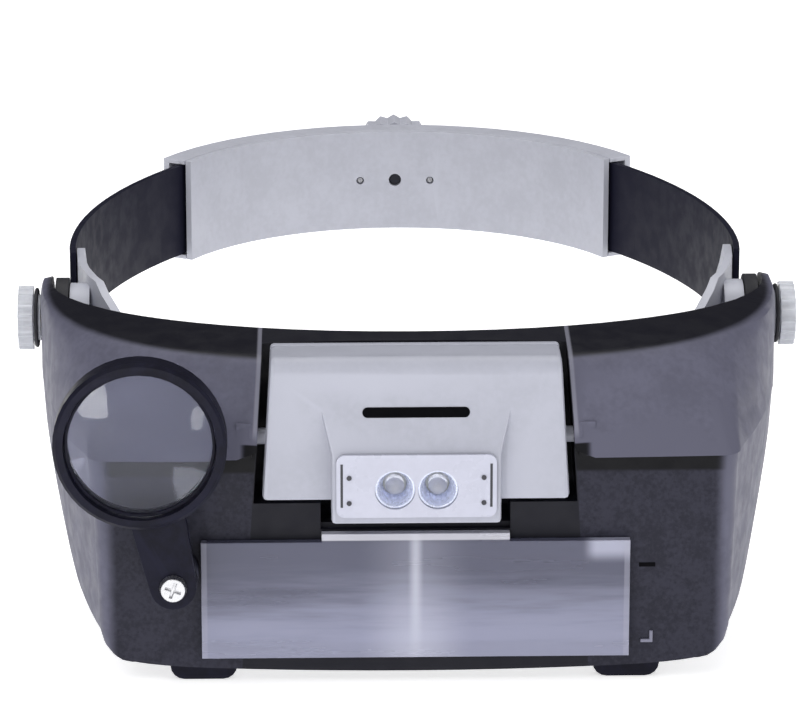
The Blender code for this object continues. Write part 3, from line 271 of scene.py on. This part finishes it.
def moulded(name, colour, rough=(0.35, 0.55), grain=0.5 * MM, depth=0.02 * MM, mottle=0.12, wear=1.15):
    """Injection-moulded plastic: faint mottle, fine grain, paler edges and a varied shine.

    `rough` is the range of its roughness; `grain` and `depth` are the width and height of its grain;
    `mottle` is the share by which its colour wanders; `wear` is how much paler its edges are.
    """
    paint = Paint(name, colour, sum(rough) / 2)
    clouds = paint.noise(9 * MM, 4.0)
    speckle = paint.noise(1.6 * MM)
    mixed = paint.maths("ADD", paint.times(clouds, 0.55), paint.times(speckle, 0.45))
    share = paint.span(mixed, 0.35, 0.65)
    paint.colour = paint.blend(share, shade(colour, 1 - mottle), shade(colour, 1 + mottle))
    paint.coat(paint.edges(), shade(colour, wear))
    paint.rough = paint.span(paint.noise(5 * MM), 0.3, 0.7, *rough)
    paint.bump(paint.noise(grain, 2.0), 0.5, depth)
    return paint


# ---- the visor's material -----------------------------------------------------------------------
def panel_share(paint, x, y, z):
    """The recessed panel: under the ledge, between the sides and at the front."""
    # where the panel ends sideways and backwards, and where the ledge steps up beside the lamp
    side = LENS_HIGH.x + 20.5 * MM
    front = LAMP_AXIS.y + 15 * MM
    step = 41 * MM
    # the ledge's lower edge is rounded, and keeps the visor's own colour
    lip = 0.6 * MM
    lip_soft = 0.45 * MM
    under_ledge = paint.below(z, LEDGE - lip, lip_soft)
    under_step = paint.below(z, LEDGE_AT_LAMP - lip, lip_soft)
    beside_lamp = paint.below(x, step, 2 * MM)
    low = paint.maths("MAXIMUM", under_ledge, paint.times(beside_lamp, under_step))
    return paint.times(paint.below(x, side, 3.5 * MM), low, paint.below(y, front, 6 * MM))


def shelf_share(paint, x, y, z):
    """The shelf on top, inside the oval edge of the brow."""
    roundness = 2.6
    # the visor's box starts at the loupe's boss, which stands this far in front of the brow
    loupe_boss = 11.6 * MM
    brow_depth = EAR_AXIS.y - VISOR_LOW.y - loupe_boss
    ahead = paint.maths("MAXIMUM", paint.maths("SUBTRACT", EAR_AXIS.y, y), 0.0)
    sideways = paint.maths("POWER", paint.maths("DIVIDE", x, VISOR_HIGH.x), roundness)
    forwards = paint.maths("POWER", paint.maths("DIVIDE", ahead, brow_depth), roundness)
    within = paint.below(paint.maths("ADD", sideways, forwards), 0.92, 0.06)
    return paint.times(within, paint.above(z, LAMP_AXIS.z + 8 * MM, 4 * MM))


def past_notch(paint, x, z):
    """How far out from the notch's edge a place is; the notch is narrower at its top."""
    bottom = -22.6 * MM
    top = 22 * MM
    half_at_bottom = 39.6 * MM
    half_at_top = 36.6 * MM
    return paint.maths("SUBTRACT", x, paint.line(z, bottom, top, half_at_bottom, half_at_top))


def visor_moulding():
    """Blue-grey grained moulding: a darker recessed panel, partly its own finish and partly painted
    shade; painted shadow under the ledge; a near-black shelf on top as a painted dark reflection;
    painted shade in the lamp pocket and a painted highlight on the notch's edge.
    """
    paint = moulded(
        "visor_moulding", (0.118, 0.118, 0.165), rough=(0.42, 0.58),
        grain=0.4 * MM, depth=0.03 * MM, mottle=0.10, wear=1.0,
    )
    x = paint.maths("ABSOLUTE", paint.axis("X"))
    y = paint.axis("Y")
    z = paint.axis("Z")
    # the recessed panel is darker, partly its own darker finish with a coarser mottle and partly
    # painted shade of the recess
    panel = panel_share(paint, x, y, z)
    grains = paint.maths("ADD", paint.noise(5 * MM, 4.0), paint.noise(0.9 * MM))
    mixed = paint.span(grains, 0.75, 1.25)
    paint.coat(panel, paint.blend(mixed, (0.015, 0.015, 0.026), (0.029, 0.029, 0.045)))
    # painted shadow: a dark line under the ledge
    dark_height = 5.4 * MM
    ledge_shadow = paint.times(panel, paint.above(z, LEDGE - dark_height, 1 * MM))
    paint.coat(ledge_shadow, (0.002, 0.002, 0.004))
    # painted dark reflection: the upward-facing shelf on top is coloured near black
    shelf = shelf_share(paint, x, y, z)
    paint.coat(shelf, (0.006, 0.006, 0.011))
    # painted shade in the pocket behind the lamp case
    out = past_notch(paint, x, z)
    behind = paint.above(y, LAMP_AXIS.y - 6 * MM, 2 * MM)
    paint.coat(paint.times(paint.below(out, 0.1 * MM, 0.25 * MM), behind), (0.010, 0.010, 0.016))
    # painted highlight along the edge of the notch above the ledge
    notch_edge_highlight = paint.times(
        paint.below(out, 0.9 * MM, 0.6 * MM),
        paint.above(out, 0.1 * MM, 0.2 * MM),
        paint.above(z, LEDGE_AT_LAMP, 3 * MM),
        0.7,
    )
    paint.coat(notch_edge_highlight, (0.26, 0.26, 0.32))
    paint.rough = paint.maths("SUBTRACT", paint.rough, paint.times(shelf, 0.14))
    paint.fix("Specular IOR Level", 0.2)
    return paint.done()


# ---- other plastics and rubber ------------------------------------------------------------------
def strap_plastic():
    paint = moulded(
        "strap_plastic", (0.009, 0.009, 0.019), rough=(0.45, 0.6),
        grain=0.6 * MM, depth=0.03 * MM, mottle=0.15, wear=1.3,
    )
    paint.fix("Specular IOR Level", 0.12)
    return paint.done()


def pale_plastic():
    return moulded(
        "pale_plastic", (0.54, 0.55, 0.62), rough=(0.38, 0.54),
        grain=0.4 * MM, depth=0.015 * MM, mottle=0.05, wear=1.06,
    ).done()


def case_plastic():
    return moulded(
        "case_plastic", (0.42, 0.43, 0.50), rough=(0.36, 0.5),
        grain=0.4 * MM, depth=0.015 * MM, mottle=0.04, wear=1.08,
    ).done()


def bezel_plastic():
    return moulded(
        "bezel_plastic", (0.52, 0.53, 0.63), rough=(0.24, 0.36),
        grain=0.5 * MM, depth=0.008 * MM, mottle=0.03, wear=1.05,
    ).done()


def black_rubber():
    return moulded(
        "black_rubber", (0.014, 0.014, 0.018), rough=(0.6, 0.8),
        grain=0.3 * MM, depth=0.03 * MM, mottle=0.3, wear=1.6,
    ).done()


def black_plastic():
    return moulded(
        "black_plastic", (0.02, 0.02, 0.026), rough=(0.35, 0.5),
        grain=0.4 * MM, depth=0.02 * MM, mottle=0.25, wear=1.7,
    ).done()


def mark_black():
    """Dull black, for the bar on the lamp case, and as painted shade for the slot beside the lens."""
    paint = moulded(
        "mark_black", (0.003, 0.003, 0.004), rough=(0.8, 0.95),
        grain=0.4 * MM, depth=0.02 * MM, mottle=0.2, wear=1.2,
    )
    paint.fix("Specular IOR Level", 0.05)
    return paint.done()


def loupe_plastic():
    paint = moulded(
        "loupe_plastic", (0.006, 0.006, 0.015), rough=(0.36, 0.5),
        grain=0.7 * MM, depth=0.015 * MM, mottle=0.3, wear=1.4,
    )
    paint.fix("Specular IOR Level", 0.13)
    return paint.done()


def knob_plastic():
    """Pale, slightly cloudy clear plastic."""
    paint = moulded(
        "knob_plastic", (0.80, 0.82, 0.88), rough=(0.12, 0.24),
        grain=0.8 * MM, depth=0.01 * MM, mottle=0.05, wear=1.1,
    )
    paint.fix("Transmission Weight", 0.35)
    paint.fix("IOR", 1.47)
    return paint.done()


# ---- lenses -------------------------------------------------------------------------------------
def clear_glass(name, tint, roughness=0.02, ior=1.45):
    """Polished acrylic with faint smears in its shine."""
    paint = Paint(name, tint, roughness)
    smear = paint.noise(9 * MM, 4.0)
    paint.rough = paint.span(smear, 0.35, 0.75, roughness, roughness + 0.05)
    paint.colour = paint.blend(smear, shade(tint, 0.97), shade(tint, 1.03))
    paint.fix("Transmission Weight", 0.96)
    paint.fix("IOR", ior)
    return paint.done()


def plate_lens():
    """The long plate: hazy acrylic with painted light and shade, darker above and brighter below, and
    a painted highlight on the seam in the middle.
    """
    paint = Paint("plate_lens", (0.5, 0.5, 0.6), 0.2)
    x = paint.axis("X")
    away = paint.maths("ABSOLUTE", x)
    z = paint.axis("Z")
    # painted light and shade: brighter downwards, darker above where the dark inside shows through,
    # and long streaks shift its level up and down
    streaks = paint.noise(9 * MM, 4.0, place=paint.stretched(0.22, 1.0, 2.6))
    wander = 3.6 * MM
    level = paint.maths("ADD", z, paint.span(streaks, 0.3, 0.7, -wander, wander))
    bright = paint.span(level, LENS_LOW.z + 2 * MM, LENS_HIGH.z - 9 * MM, 1.0, 0.0)
    paint.colour = paint.blend(bright, (0.105, 0.108, 0.165), (0.34, 0.35, 0.48))
    # painted glow: a soft light in the middle, strongest in the lower half
    upwards = paint.span(z, LENS_LOW.z - 0.2 * MM, LENS_HIGH.z - 6.3 * MM, 1.0, 0.35)
    painted_glow = paint.times(paint.below(away, 0.0, 15 * MM), upwards, 0.5)
    paint.coat(painted_glow, (0.72, 0.73, 0.86))
    # painted highlight on the seam, which fades downwards
    fade = paint.span(z, LENS_LOW.z - 2.2 * MM, LENS_HIGH.z - 8.3 * MM, 0.35, 1.0)
    seam_highlight = paint.times(paint.span(away, 0.0, 2.2 * MM, 0.55, 0.0), fade)
    paint.coat(seam_highlight, (0.78, 0.79, 0.90))
    # painted highlights on the upper right corner and on the raised top edge, and paler margins at
    # both ends
    corner = paint.times(
        paint.above(x, LENS_HIGH.x - 12 * MM, 4 * MM),
        paint.above(z, LENS_HIGH.z - 8.3 * MM, 4 * MM),
        0.7,
    )
    paint.coat(corner, (0.62, 0.63, 0.78))
    margin = paint.times(paint.above(away, LENS_HIGH.x - 1.6 * MM, 0.4 * MM), 0.35)
    paint.coat(margin, (0.5, 0.5, 0.62))
    top_edge_highlight = paint.times(paint.above(z, LENS_HIGH.z - 1.9 * MM, 0.4 * MM), 0.8)
    paint.coat(top_edge_highlight, (0.80, 0.80, 0.88))
    paint.rough = paint.span(streaks, 0.3, 0.7, 0.16, 0.30)
    paint.fix("Transmission Weight", 0.30)
    paint.fix("IOR", 1.49)
    paint.bump(streaks, 0.02, 0.05 * MM)
    return paint.done()


# ---- metals, lamp and fabric --------------------------------------------------------------------
def metal(name, colour=(0.66, 0.66, 0.68), rough=(0.22, 0.42)):
    """Turned metal, with fine lines along Z and a slightly uneven colour."""
    paint = Paint(name, colour, 0.3, metallic=1.0)
    lines = paint.noise(0.25 * MM, 2.0, place=paint.stretched(z=0.12))
    paint.colour = paint.blend(paint.noise(2 * MM), shade(colour, 0.85), shade(colour, 1.1))
    paint.rough = paint.span(lines, 0.3, 0.7, *rough)
    paint.bump(lines, 0.3, 0.01 * MM)
    return paint.done()


def reflector_plating():
    """Bluish, slightly milky plating."""
    paint = Paint("reflector_plating", (0.72, 0.72, 0.88), 0.25, metallic=0.4)
    paint.rough = paint.span(paint.noise(1.5 * MM), 0.3, 0.7, 0.2, 0.36)
    paint.colour = paint.blend(paint.noise(3 * MM), (0.70, 0.75, 0.98), (0.86, 0.90, 1.0))
    paint.bump(paint.cells(0.9 * MM), 0.2, 0.05 * MM)
    return paint.done()


def led_resin():
    """Clear, faintly blue resin."""
    paint = Paint("led_resin", (0.95, 0.95, 0.9), 0.08)
    paint.colour = paint.blend(paint.noise(1.2 * MM), (0.86, 0.88, 0.97), (0.93, 0.94, 1.0))
    paint.rough = paint.span(paint.noise(0.8 * MM), 0.3, 0.7, 0.04, 0.12)
    paint.fix("Transmission Weight", 0.8)
    return paint.done()


def board_coating():
    """White solder mask with raised tracks under it."""
    paint = moulded(
        "board_coating", (0.74, 0.74, 0.74), rough=(0.25, 0.4),
        grain=0.6 * MM, depth=0.02 * MM, mottle=0.04, wear=1.05,
    )
    tracks = paint.span(paint.waves(1.8 * MM, distortion=3.0), 0.55, 0.62)
    paint.coat(tracks, (0.66, 0.68, 0.66))
    paint.bump(tracks, 0.3, 0.04 * MM)
    return paint.done()


def cell_jacket():
    """Dark printed sleeve, with a brass-coloured band at the cells' right end."""
    paint = moulded(
        "cell_jacket", (0.05, 0.055, 0.08), rough=(0.18, 0.3),
        grain=0.8 * MM, depth=0.01 * MM, mottle=0.15, wear=1.4,
    )
    paint.coat(paint.above(paint.axis("X"), 13.4 * MM, 0.2 * MM), (0.55, 0.42, 0.2))
    return paint.done()


def pad_fabric():
    """Close black knit over foam."""
    paint = Paint("pad_fabric", (0.02, 0.02, 0.024), 0.9)
    # the knit runs round the head, so it is laid out along the arc and up
    head_radius = 80 * MM
    turn = paint.maths("ARCTAN2", paint.axis("X"), paint.axis("Y"))
    knit = paint.node("CombineXYZ")
    paint.feed(knit.inputs[0], paint.times(turn, head_radius))
    paint.feed(knit.inputs[1], paint.axis("Z"))
    ribs = paint.waves(1.1 * MM, "X", place=knit.outputs[0])
    rows = paint.waves(0.9 * MM, "Y", place=knit.outputs[0])
    loops = paint.times(ribs, rows)
    paint.colour = paint.blend(loops, (0.008, 0.008, 0.010), (0.050, 0.050, 0.062))
    paint.rough = paint.span(paint.noise(6 * MM), 0.3, 0.7, 0.8, 0.97)
    paint.fix("Sheen Weight", 0.35)
    paint.bump(loops, 0.8, 0.25 * MM)
    paint.bump(paint.noise(4 * MM), 0.3, 0.4 * MM)
    return paint.done()


# ---- skins for the CAD nodes --------------------------------------------------------------------
def piece(name, mesh, material, body):
    """Put a mesh that is already in place into the scene, riding on a body."""
    mesh.materials.clear()
    mesh.materials.append(material)
    thing = bpy.data.objects.new(name, mesh)
    bpy.context.scene.collection.objects.link(thing)
    if body:
        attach(thing, body)
    return thing


def mesh_from(shape, name):
    """Turn a bmesh into a mesh, and free it."""
    mesh = bpy.data.meshes.new(name)
    shape.to_mesh(mesh)
    shape.free()
    return mesh


def cleaned(name, cuts=()):
    """A welded copy of a node's mesh with its flat areas in one face each, shaded smooth.

    It is cut across at each level of `cuts`, which are places along Y.
    """
    weld = 0.001 * MM
    flat = math.radians(0.4)
    on_plane = 0.0001 * MM
    shape = bmesh.new()
    shape.from_mesh(NODES[name].data)
    bmesh.ops.remove_doubles(shape, verts=shape.verts, dist=weld)
    bmesh.ops.dissolve_limit(
        shape, angle_limit=flat, verts=shape.verts, edges=shape.edges,
        use_dissolve_boundaries=False, delimit=set(),
    )
    for level in cuts:
        everything = shape.verts[:] + shape.edges[:] + shape.faces[:]
        bmesh.ops.bisect_plane(
            shape, geom=everything, plane_co=(0, level, 0), plane_no=(0, 1, 0), dist=on_plane,
        )
    mesh = mesh_from(shape, name + "_skin")
    for extra in ("custom_normal", "sharp_edge", "sharp_face"):
        if extra in mesh.attributes:
            mesh.attributes.remove(mesh.attributes[extra])
    mesh.shade_smooth()
    mesh.set_sharp_from_angle(angle=math.radians(SHARP_ANGLE))
    return mesh


def rounded(thing, width):
    """Rounds the sharp edges a little, so that they catch the light."""
    bevel = thing.modifiers.new("round", "BEVEL")
    bevel.width = width
    bevel.segments = 2
    bevel.limit_method = "ANGLE"
    bevel.angle_limit = math.radians(SHARP_ANGLE + 2)


def weighted(thing):
    """Lets the large faces decide the shading, so that flat areas look flat."""
    weigh = thing.modifiers.new("normals", "WEIGHTED_NORMAL")
    weigh.mode = "FACE_AREA_WITH_ANGLE"
    weigh.keep_sharp = True
    weigh.weight = 60


def give(material, *names, edge=0.12 * MM):
    """Stand a smooth, edge-rounded copy in for each of these nodes."""
    for name in names:
        skin = piece(name + "_skin", cleaned(name), material, body_of(name))
        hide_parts(name)
        rounded(skin, edge)
        weighted(skin)


PALE_RIB = moulded("pale_rib", (0.17, 0.17, 0.23)).done()
STRAP = strap_plastic()
BLACK = black_plastic()
RUBBER = black_rubber()
MARK = mark_black()

give(visor_moulding(), "visor_shell", edge=0.25 * MM)
give(pale_plastic(), "front_band", "rear_cover_inner", "rear_cover_outer", "size_knob")
give(case_plastic(), "lamp_case", "case_back")
give(bezel_plastic(), "lamp_bezel")
give(RUBBER, "friction_washer_left", "friction_washer_right")
give(BLACK, "switch_body", "switch_slider", "pinion")
give(loupe_plastic(), "loupe_frame", "loupe_retainer", "flip_frame")
give(knob_plastic(), "knob_left", "knob_right")
give(plate_lens(), "main_lens")
give(clear_glass("back_lens", (0.80, 0.83, 0.93), roughness=0.04), "flip_lens")
give(clear_glass("loupe_glass", (0.78, 0.80, 0.92), ior=1.25), "loupe_lens")
give(led_resin(), "led_left", "led_right")
give(metal("brass", (0.75, 0.52, 0.2), (0.25, 0.4)), "knob_nut_left", "knob_nut_right")
give(reflector_plating(), "reflector_left", "reflector_right")
give(board_coating(), "circuit_board")
give(cell_jacket(), "battery_upper", "battery_lower")
give(
    metal("plated_steel"),
    "strap_rivet_left_front", "strap_rivet_left_rear", "strap_rivet_right_front",
    "strap_rivet_right_rear", "pivot_bolt_left", "pivot_bolt_right", "loupe_screw",
    "case_screw_left", "case_screw_right", "battery_contact_left", "battery_contact_right",
    "rear_screw_left", "rear_screw_right",
)
give(metal("blackened_steel", (0.05, 0.05, 0.06), (0.35, 0.5)), "pinion_screw")


def flexible_strap(side):
    """The strap, cut across every few millimetres."""
    name = "strap_" + side
    low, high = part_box(name)
    step = 4 * MM
    count = int((high.y - low.y) / step)
    mesh = cleaned(name, [low.y + step * k for k in range(1, count)])
    strap = piece(name + "_band", mesh, STRAP, None)
    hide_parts(name)
    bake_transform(strap)
    weighted(strap)


# ---- the brow cushion ---------------------------------------------------------------------------
def squarish(value, power):
    """Pushes a sine or cosine outwards, which turns a round section into a rounded rectangle."""
    return math.copysign(abs(value) ** power, value)


def brow_cushion():
    """The padded forehead cushion: crowned, sewn into channels and pinched in at its ends."""
    low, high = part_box("brow_pad")
    half_height = (high.z - low.z) / 2
    middle_z = (high.z + low.z) / 2
    # the pad's outer face is an arc, which ends at the pad's widest point
    half_width = high.x
    depth = high.y - low.y
    radius = (half_width**2 + depth**2) / (2 * depth)
    centre_y = low.y + radius
    # the cushion stops just short of the pad's ends, and just clear of the band
    share_covered = 0.985
    half_turn = math.asin(min(1.0, half_width / radius)) * share_covered
    gap = 0.1 * MM
    thick = 5.0 * MM
    # the lower this power, the squarer the cushion's section
    section_power = 0.55
    # how suddenly its ends are pinched in, and the share of its thickness that is left there
    pinch_power = 14
    least_end = 0.18
    # sewn channels across it, as shares of its thickness and of its height
    channels = 12
    channel_depth = 0.22
    channel_dip = 0.05
    # steps along the cushion and points round its section
    columns = 120
    ring = 28
    shape = bmesh.new()
    rows = []
    for c in range(columns + 1):
        # share runs from -1 at the left end to 1 at the right end
        share = c / columns * 2 - 1
        turn = half_turn * share
        # end is 1 along the cushion and small at its ends; channel is 1 in the bottom of a channel
        end = max(least_end, max(0.0, 1 - abs(share) ** pinch_power) ** 0.5)
        channel = 0.5 + 0.5 * math.cos(share * math.pi * channels)
        puff = 1 - channel_depth * channel**8
        tallness = (0.97 * end + 0.03) * (1 - channel_dip * channel**6)
        row = []
        for k in range(ring):
            angle = 2 * math.pi * k / ring
            flat = squarish(math.cos(angle), section_power)
            # only the side towards the head is sewn in
            crown = flat * puff * end if flat >= 0 else flat * end
            height = half_height * squarish(math.sin(angle), section_power) * tallness
            away = radius - gap - thick / 2 * (1 + crown)
            row.append(shape.verts.new((
                away * math.sin(turn), centre_y - away * math.cos(turn), middle_z + height,
            )))
        rows.append(row)
    for near, far in zip(rows, rows[1:]):
        for k in range(ring):
            following = (k + 1) % ring
            shape.faces.new((near[k], near[following], far[following], far[k]))
    shape.faces.new(list(reversed(rows[0])))
    shape.faces.new(rows[-1])
    bmesh.ops.recalc_face_normals(shape, faces=shape.faces)
    mesh = mesh_from(shape, "brow_cushion")
    mesh.shade_smooth()
    cushion = piece("brow_cushion", mesh, pad_fabric(), "headband")
    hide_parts("brow_pad")


# ---- thin trim ----------------------------------------------------------------------------------
def surface_of(name):
    """A tree for finding points on a node's outer surface."""
    mesh = NODES[name].data
    return BVHTree.FromPolygons([v.co for v in mesh.vertices], [p.vertices for p in mesh.polygons])


def slab(name, outline, host, material, proud=0.0, sunk=0.0, rounding=0.0):
    """A thin piece laid on the front of a node, from `sunk` inside its surface to `proud` of it.

    The outline is given in X and Z.
    """
    tree = surface_of(host)
    shape = bmesh.new()
    near = []
    far = []
    for x, z in outline:
        hit = tree.ray_cast(Vector((x, -1.0, z)), Vector((0, 1, 0)))[0]
        near.append(shape.verts.new((x, hit.y - proud, z)))
        far.append(shape.verts.new((x, hit.y + sunk, z)))
    shape.faces.new(near)
    shape.faces.new(list(reversed(far)))
    for k in range(len(outline)):
        following = (k + 1) % len(outline)
        shape.faces.new((near[k], far[k], far[following], near[following]))
    bmesh.ops.recalc_face_normals(shape, faces=shape.faces)
    rounded(piece(name, mesh_from(shape, name), material, body_of(host)), rounding)


def pill(half_length, half_height, centre_x, centre_z, count=10):
    """A bar with round ends."""
    points = []
    for sign, start in ((1, -90), (-1, 90)):
        for k in range(count + 1):
            turn = math.radians(start + 180 * k / count)
            points.append((
                centre_x + sign * (half_length - half_height) + half_height * math.cos(turn),
                centre_z + half_height * math.sin(turn),
            ))
    return points


def rectangle(left, right, bottom, top):
    return [(left, bottom), (right, bottom), (right, top), (left, top)]


def case_bar():
    """A plain dark bar on the lamp case."""
    bar = pill(13.0 * MM, 1.2 * MM, 0.0, LAMP_AXIS.z + 8.1 * MM)
    slab("case_bar", bar, "lamp_case", MARK, proud=0.2 * MM, sunk=0.2 * MM, rounding=0.1 * MM)


def bezel_marks():
    """A dark slit at each end of the bezel, and two dark pips beside each slit."""
    bottom = BEZEL_LOW.z + 2.6 * MM
    top = BEZEL_HIGH.z - 2.2 * MM
    half_slit = 0.3 * MM
    pip_levels = (("upper", BEZEL_HIGH.z - 5.7 * MM), ("lower", BEZEL_LOW.z + 3.7 * MM))
    for side, label in SIDES:
        x = side * (BEZEL_HIGH.x - 1.3 * MM)
        slab(
            "bezel_slit_" + label, rectangle(x - half_slit, x + half_slit, bottom, top),
            "lamp_bezel", BLACK, proud=0.05 * MM, sunk=0.2 * MM, rounding=0.02 * MM,
        )
        for level, z in pip_levels:
            slab(
                "bezel_pip_" + level + "_" + label,
                pill(0.62 * MM, 0.61 * MM, side * (BEZEL_HIGH.x - 3.1 * MM), z, 6),
                "lamp_bezel", BLACK, proud=0.3 * MM, sunk=0.1 * MM, rounding=0.05 * MM,
            )


def panel_marks():
    """The two small marks right of the lens: a level slot above, drawn as a black sheet of painted
    shade, and an L-shaped rib below.
    """
    slot_left = LENS_HIGH.x + 2.4 * MM
    slot_bottom = LENS_HIGH.z - 9.9 * MM
    # painted shade: a dull black sheet stands in for the shade inside the slot
    slab(
        "panel_slot", rectangle(slot_left, slot_left + 4.0 * MM, slot_bottom, slot_bottom + 1.1 * MM),
        "visor_shell", MARK, proud=0.08 * MM, sunk=0.3 * MM, rounding=0.03 * MM,
    )
    left = LENS_HIGH.x + 3.0 * MM
    bottom = LENS_LOW.z + 2.6 * MM
    reach = 3.0 * MM
    rib = 0.8 * MM
    corner = [
        (left, bottom), (left + reach, bottom), (left + reach, bottom + reach),
        (left + reach - rib, bottom + reach), (left + reach - rib, bottom + rib), (left, bottom + rib),
    ]
    slab(
        "panel_rib", corner, "visor_shell", PALE_RIB,
        proud=0.5 * MM, sunk=0.3 * MM, rounding=0.1 * MM,
    )


def neck_ring(side, label):
    """The dark ring between an ear and its knob."""
    low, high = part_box("knob_" + label)
    past_inner_face = 1.1 * MM
    inner = min(abs(low.x), abs(high.x))
    centre = Vector((side * (inner + past_inner_face), (low.y + high.y) / 2, (low.z + high.z) / 2))
    radius = 7.2 * MM
    half_height = 0.6 * MM
    half_width = 0.5 * MM
    around = 48
    across = 10
    shape = bmesh.new()
    ring = []
    for a in range(around):
        turn = 2 * math.pi * a / around
        row = []
        for b in range(across):
            roll = 2 * math.pi * b / across
            reach = radius + half_height * math.cos(roll)
            row.append(shape.verts.new((
                centre.x + half_width * math.sin(roll),
                centre.y + reach * math.cos(turn),
                centre.z + reach * math.sin(turn),
            )))
        ring.append(row)
    for a in range(around):
        here = ring[a]
        there = ring[(a + 1) % around]
        for b in range(across):
            following = (b + 1) % across
            shape.faces.new((here[b], there[b], there[following], here[following]))
    bmesh.ops.recalc_face_normals(shape, faces=shape.faces)
    mesh = mesh_from(shape, "neck_ring_" + label)
    mesh.shade_smooth()
    piece("neck_ring_" + label, mesh, RUBBER, label + "_clamp")


flexible_strap("left")
flexible_strap("right")
brow_cushion()
case_bar()
bezel_marks()
panel_marks()
for side, label in SIDES:
    neck_ring(side, label)


# ---- floor, light and camera --------------------------------------------------------------------
def floor():
    """Plain white paper, which glows a little so that it stays white up to the horizon."""
    half_size = 6.0
    level = CAD_BOX[0][2] - 0.2 * MM
    mesh = bpy.data.meshes.new("floor")
    corners = rectangle(-half_size, half_size, -half_size, half_size)
    mesh.from_pydata([(x, y, level) for x, y in corners], [], [(0, 1, 2, 3)])
    paint = Paint("floor_paper", (0.93, 0.93, 0.94), 0.8)
    paint.colour = paint.blend(paint.noise(0.4), (0.92, 0.92, 0.93), (0.95, 0.95, 0.96))
    paint.fix("Emission Color", (1.0, 1.0, 1.0, 1.0))
    paint.fix("Emission Strength", 0.62)
    paint.fix("Specular IOR Level", 0.0)
    mesh.materials.append(paint.done())
    made = bpy.data.objects.new("floor", mesh)
    bpy.context.scene.collection.objects.link(made)


def sky():
    """Studio surroundings: bright in front, a little less overhead, and dark behind the object."""
    # how far back a direction points, as its Y, where it starts to darken and where it is darkest
    darkening = -0.2
    darkest = 0.9
    world = bpy.data.worlds.new("studio")
    world.use_nodes = True
    tree = world.node_tree
    background = tree.nodes["Background"]
    background.inputs["Strength"].default_value = 0.48
    way = tree.nodes.new("ShaderNodeTexCoord")
    parts = tree.nodes.new("ShaderNodeSeparateXYZ")
    tree.links.new(way.outputs["Generated"], parts.inputs[0])
    rearward = tree.nodes.new("ShaderNodeMapRange")
    rearward.inputs["From Min"].default_value = darkening
    rearward.inputs["From Max"].default_value = darkest
    tree.links.new(parts.outputs["Y"], rearward.inputs["Value"])
    ramp = tree.nodes.new("ShaderNodeMix")
    ramp.data_type = "RGBA"
    tree.links.new(rearward.outputs["Result"], ramp.inputs[0])
    ramp.inputs[6].default_value = (1.0, 1.0, 1.0, 1.0)
    ramp.inputs[7].default_value = (0.14, 0.14, 0.16, 1.0)
    tree.links.new(ramp.outputs[2], background.inputs["Color"])
    bpy.context.scene.world = world


def area_light(name, place, target, size, power):
    """A rectangular light that faces its target; power is in watts."""
    lamp = bpy.data.lights.new(name, "AREA")
    lamp.shape = "RECTANGLE"
    lamp.size, lamp.size_y = size
    lamp.energy = power
    made = bpy.data.objects.new(name, lamp)
    made.location = place
    made.rotation_euler = (Vector(target) - Vector(place)).to_track_quat("-Z", "Y").to_euler()
    bpy.context.scene.collection.objects.link(made)


def lights():
    front = (0, -0.1, -0.02)
    area_light("key", (-0.7, -1.1, 1.1), front, (0.9, 0.7), 5.6)
    area_light("fill", (1.0, -0.9, 0.5), front, (0.8, 0.8), 2.8)
    area_light("top", (0.0, 0.3, 1.3), (0, 0, 0), (1.2, 1.0), 8.0)
    # two small cards low in front, seen as glints in the loupe
    loupe = (-66 * MM, -145 * MM, -2 * MM)
    area_light("card_left", (-0.138, -0.437, -0.035), loupe, (0.034, 0.046), 0.10)
    area_light("card_right", (-0.010, -0.387, -0.050), loupe, (0.010, 0.026), 0.012)


def camera():
    """A long lens a little over a metre away, slightly left of the middle and above."""
    azimuth = math.radians(-1.36)
    elevation = math.radians(15.53)
    distance = 1.1917
    aim = Vector((-1.0 * MM, -5.7 * MM, -20.4 * MM))
    away = Vector((
        math.sin(azimuth) * math.cos(elevation),
        -math.cos(azimuth) * math.cos(elevation),
        math.sin(elevation),
    ))
    made = bpy.data.objects.new("camera", bpy.data.cameras.new("camera"))
    made.data.sensor_width = 36.0
    made.data.lens = 198.3
    made.data.clip_start = 0.05
    made.location = away * distance
    made.rotation_euler = (aim - made.location).to_track_quat("-Z", "Y").to_euler()
    bpy.context.scene.collection.objects.link(made)
    bpy.context.scene.camera = made


floor()
sky()
lights()
bpy.context.scene.view_settings.view_transform = "Standard"
camera()
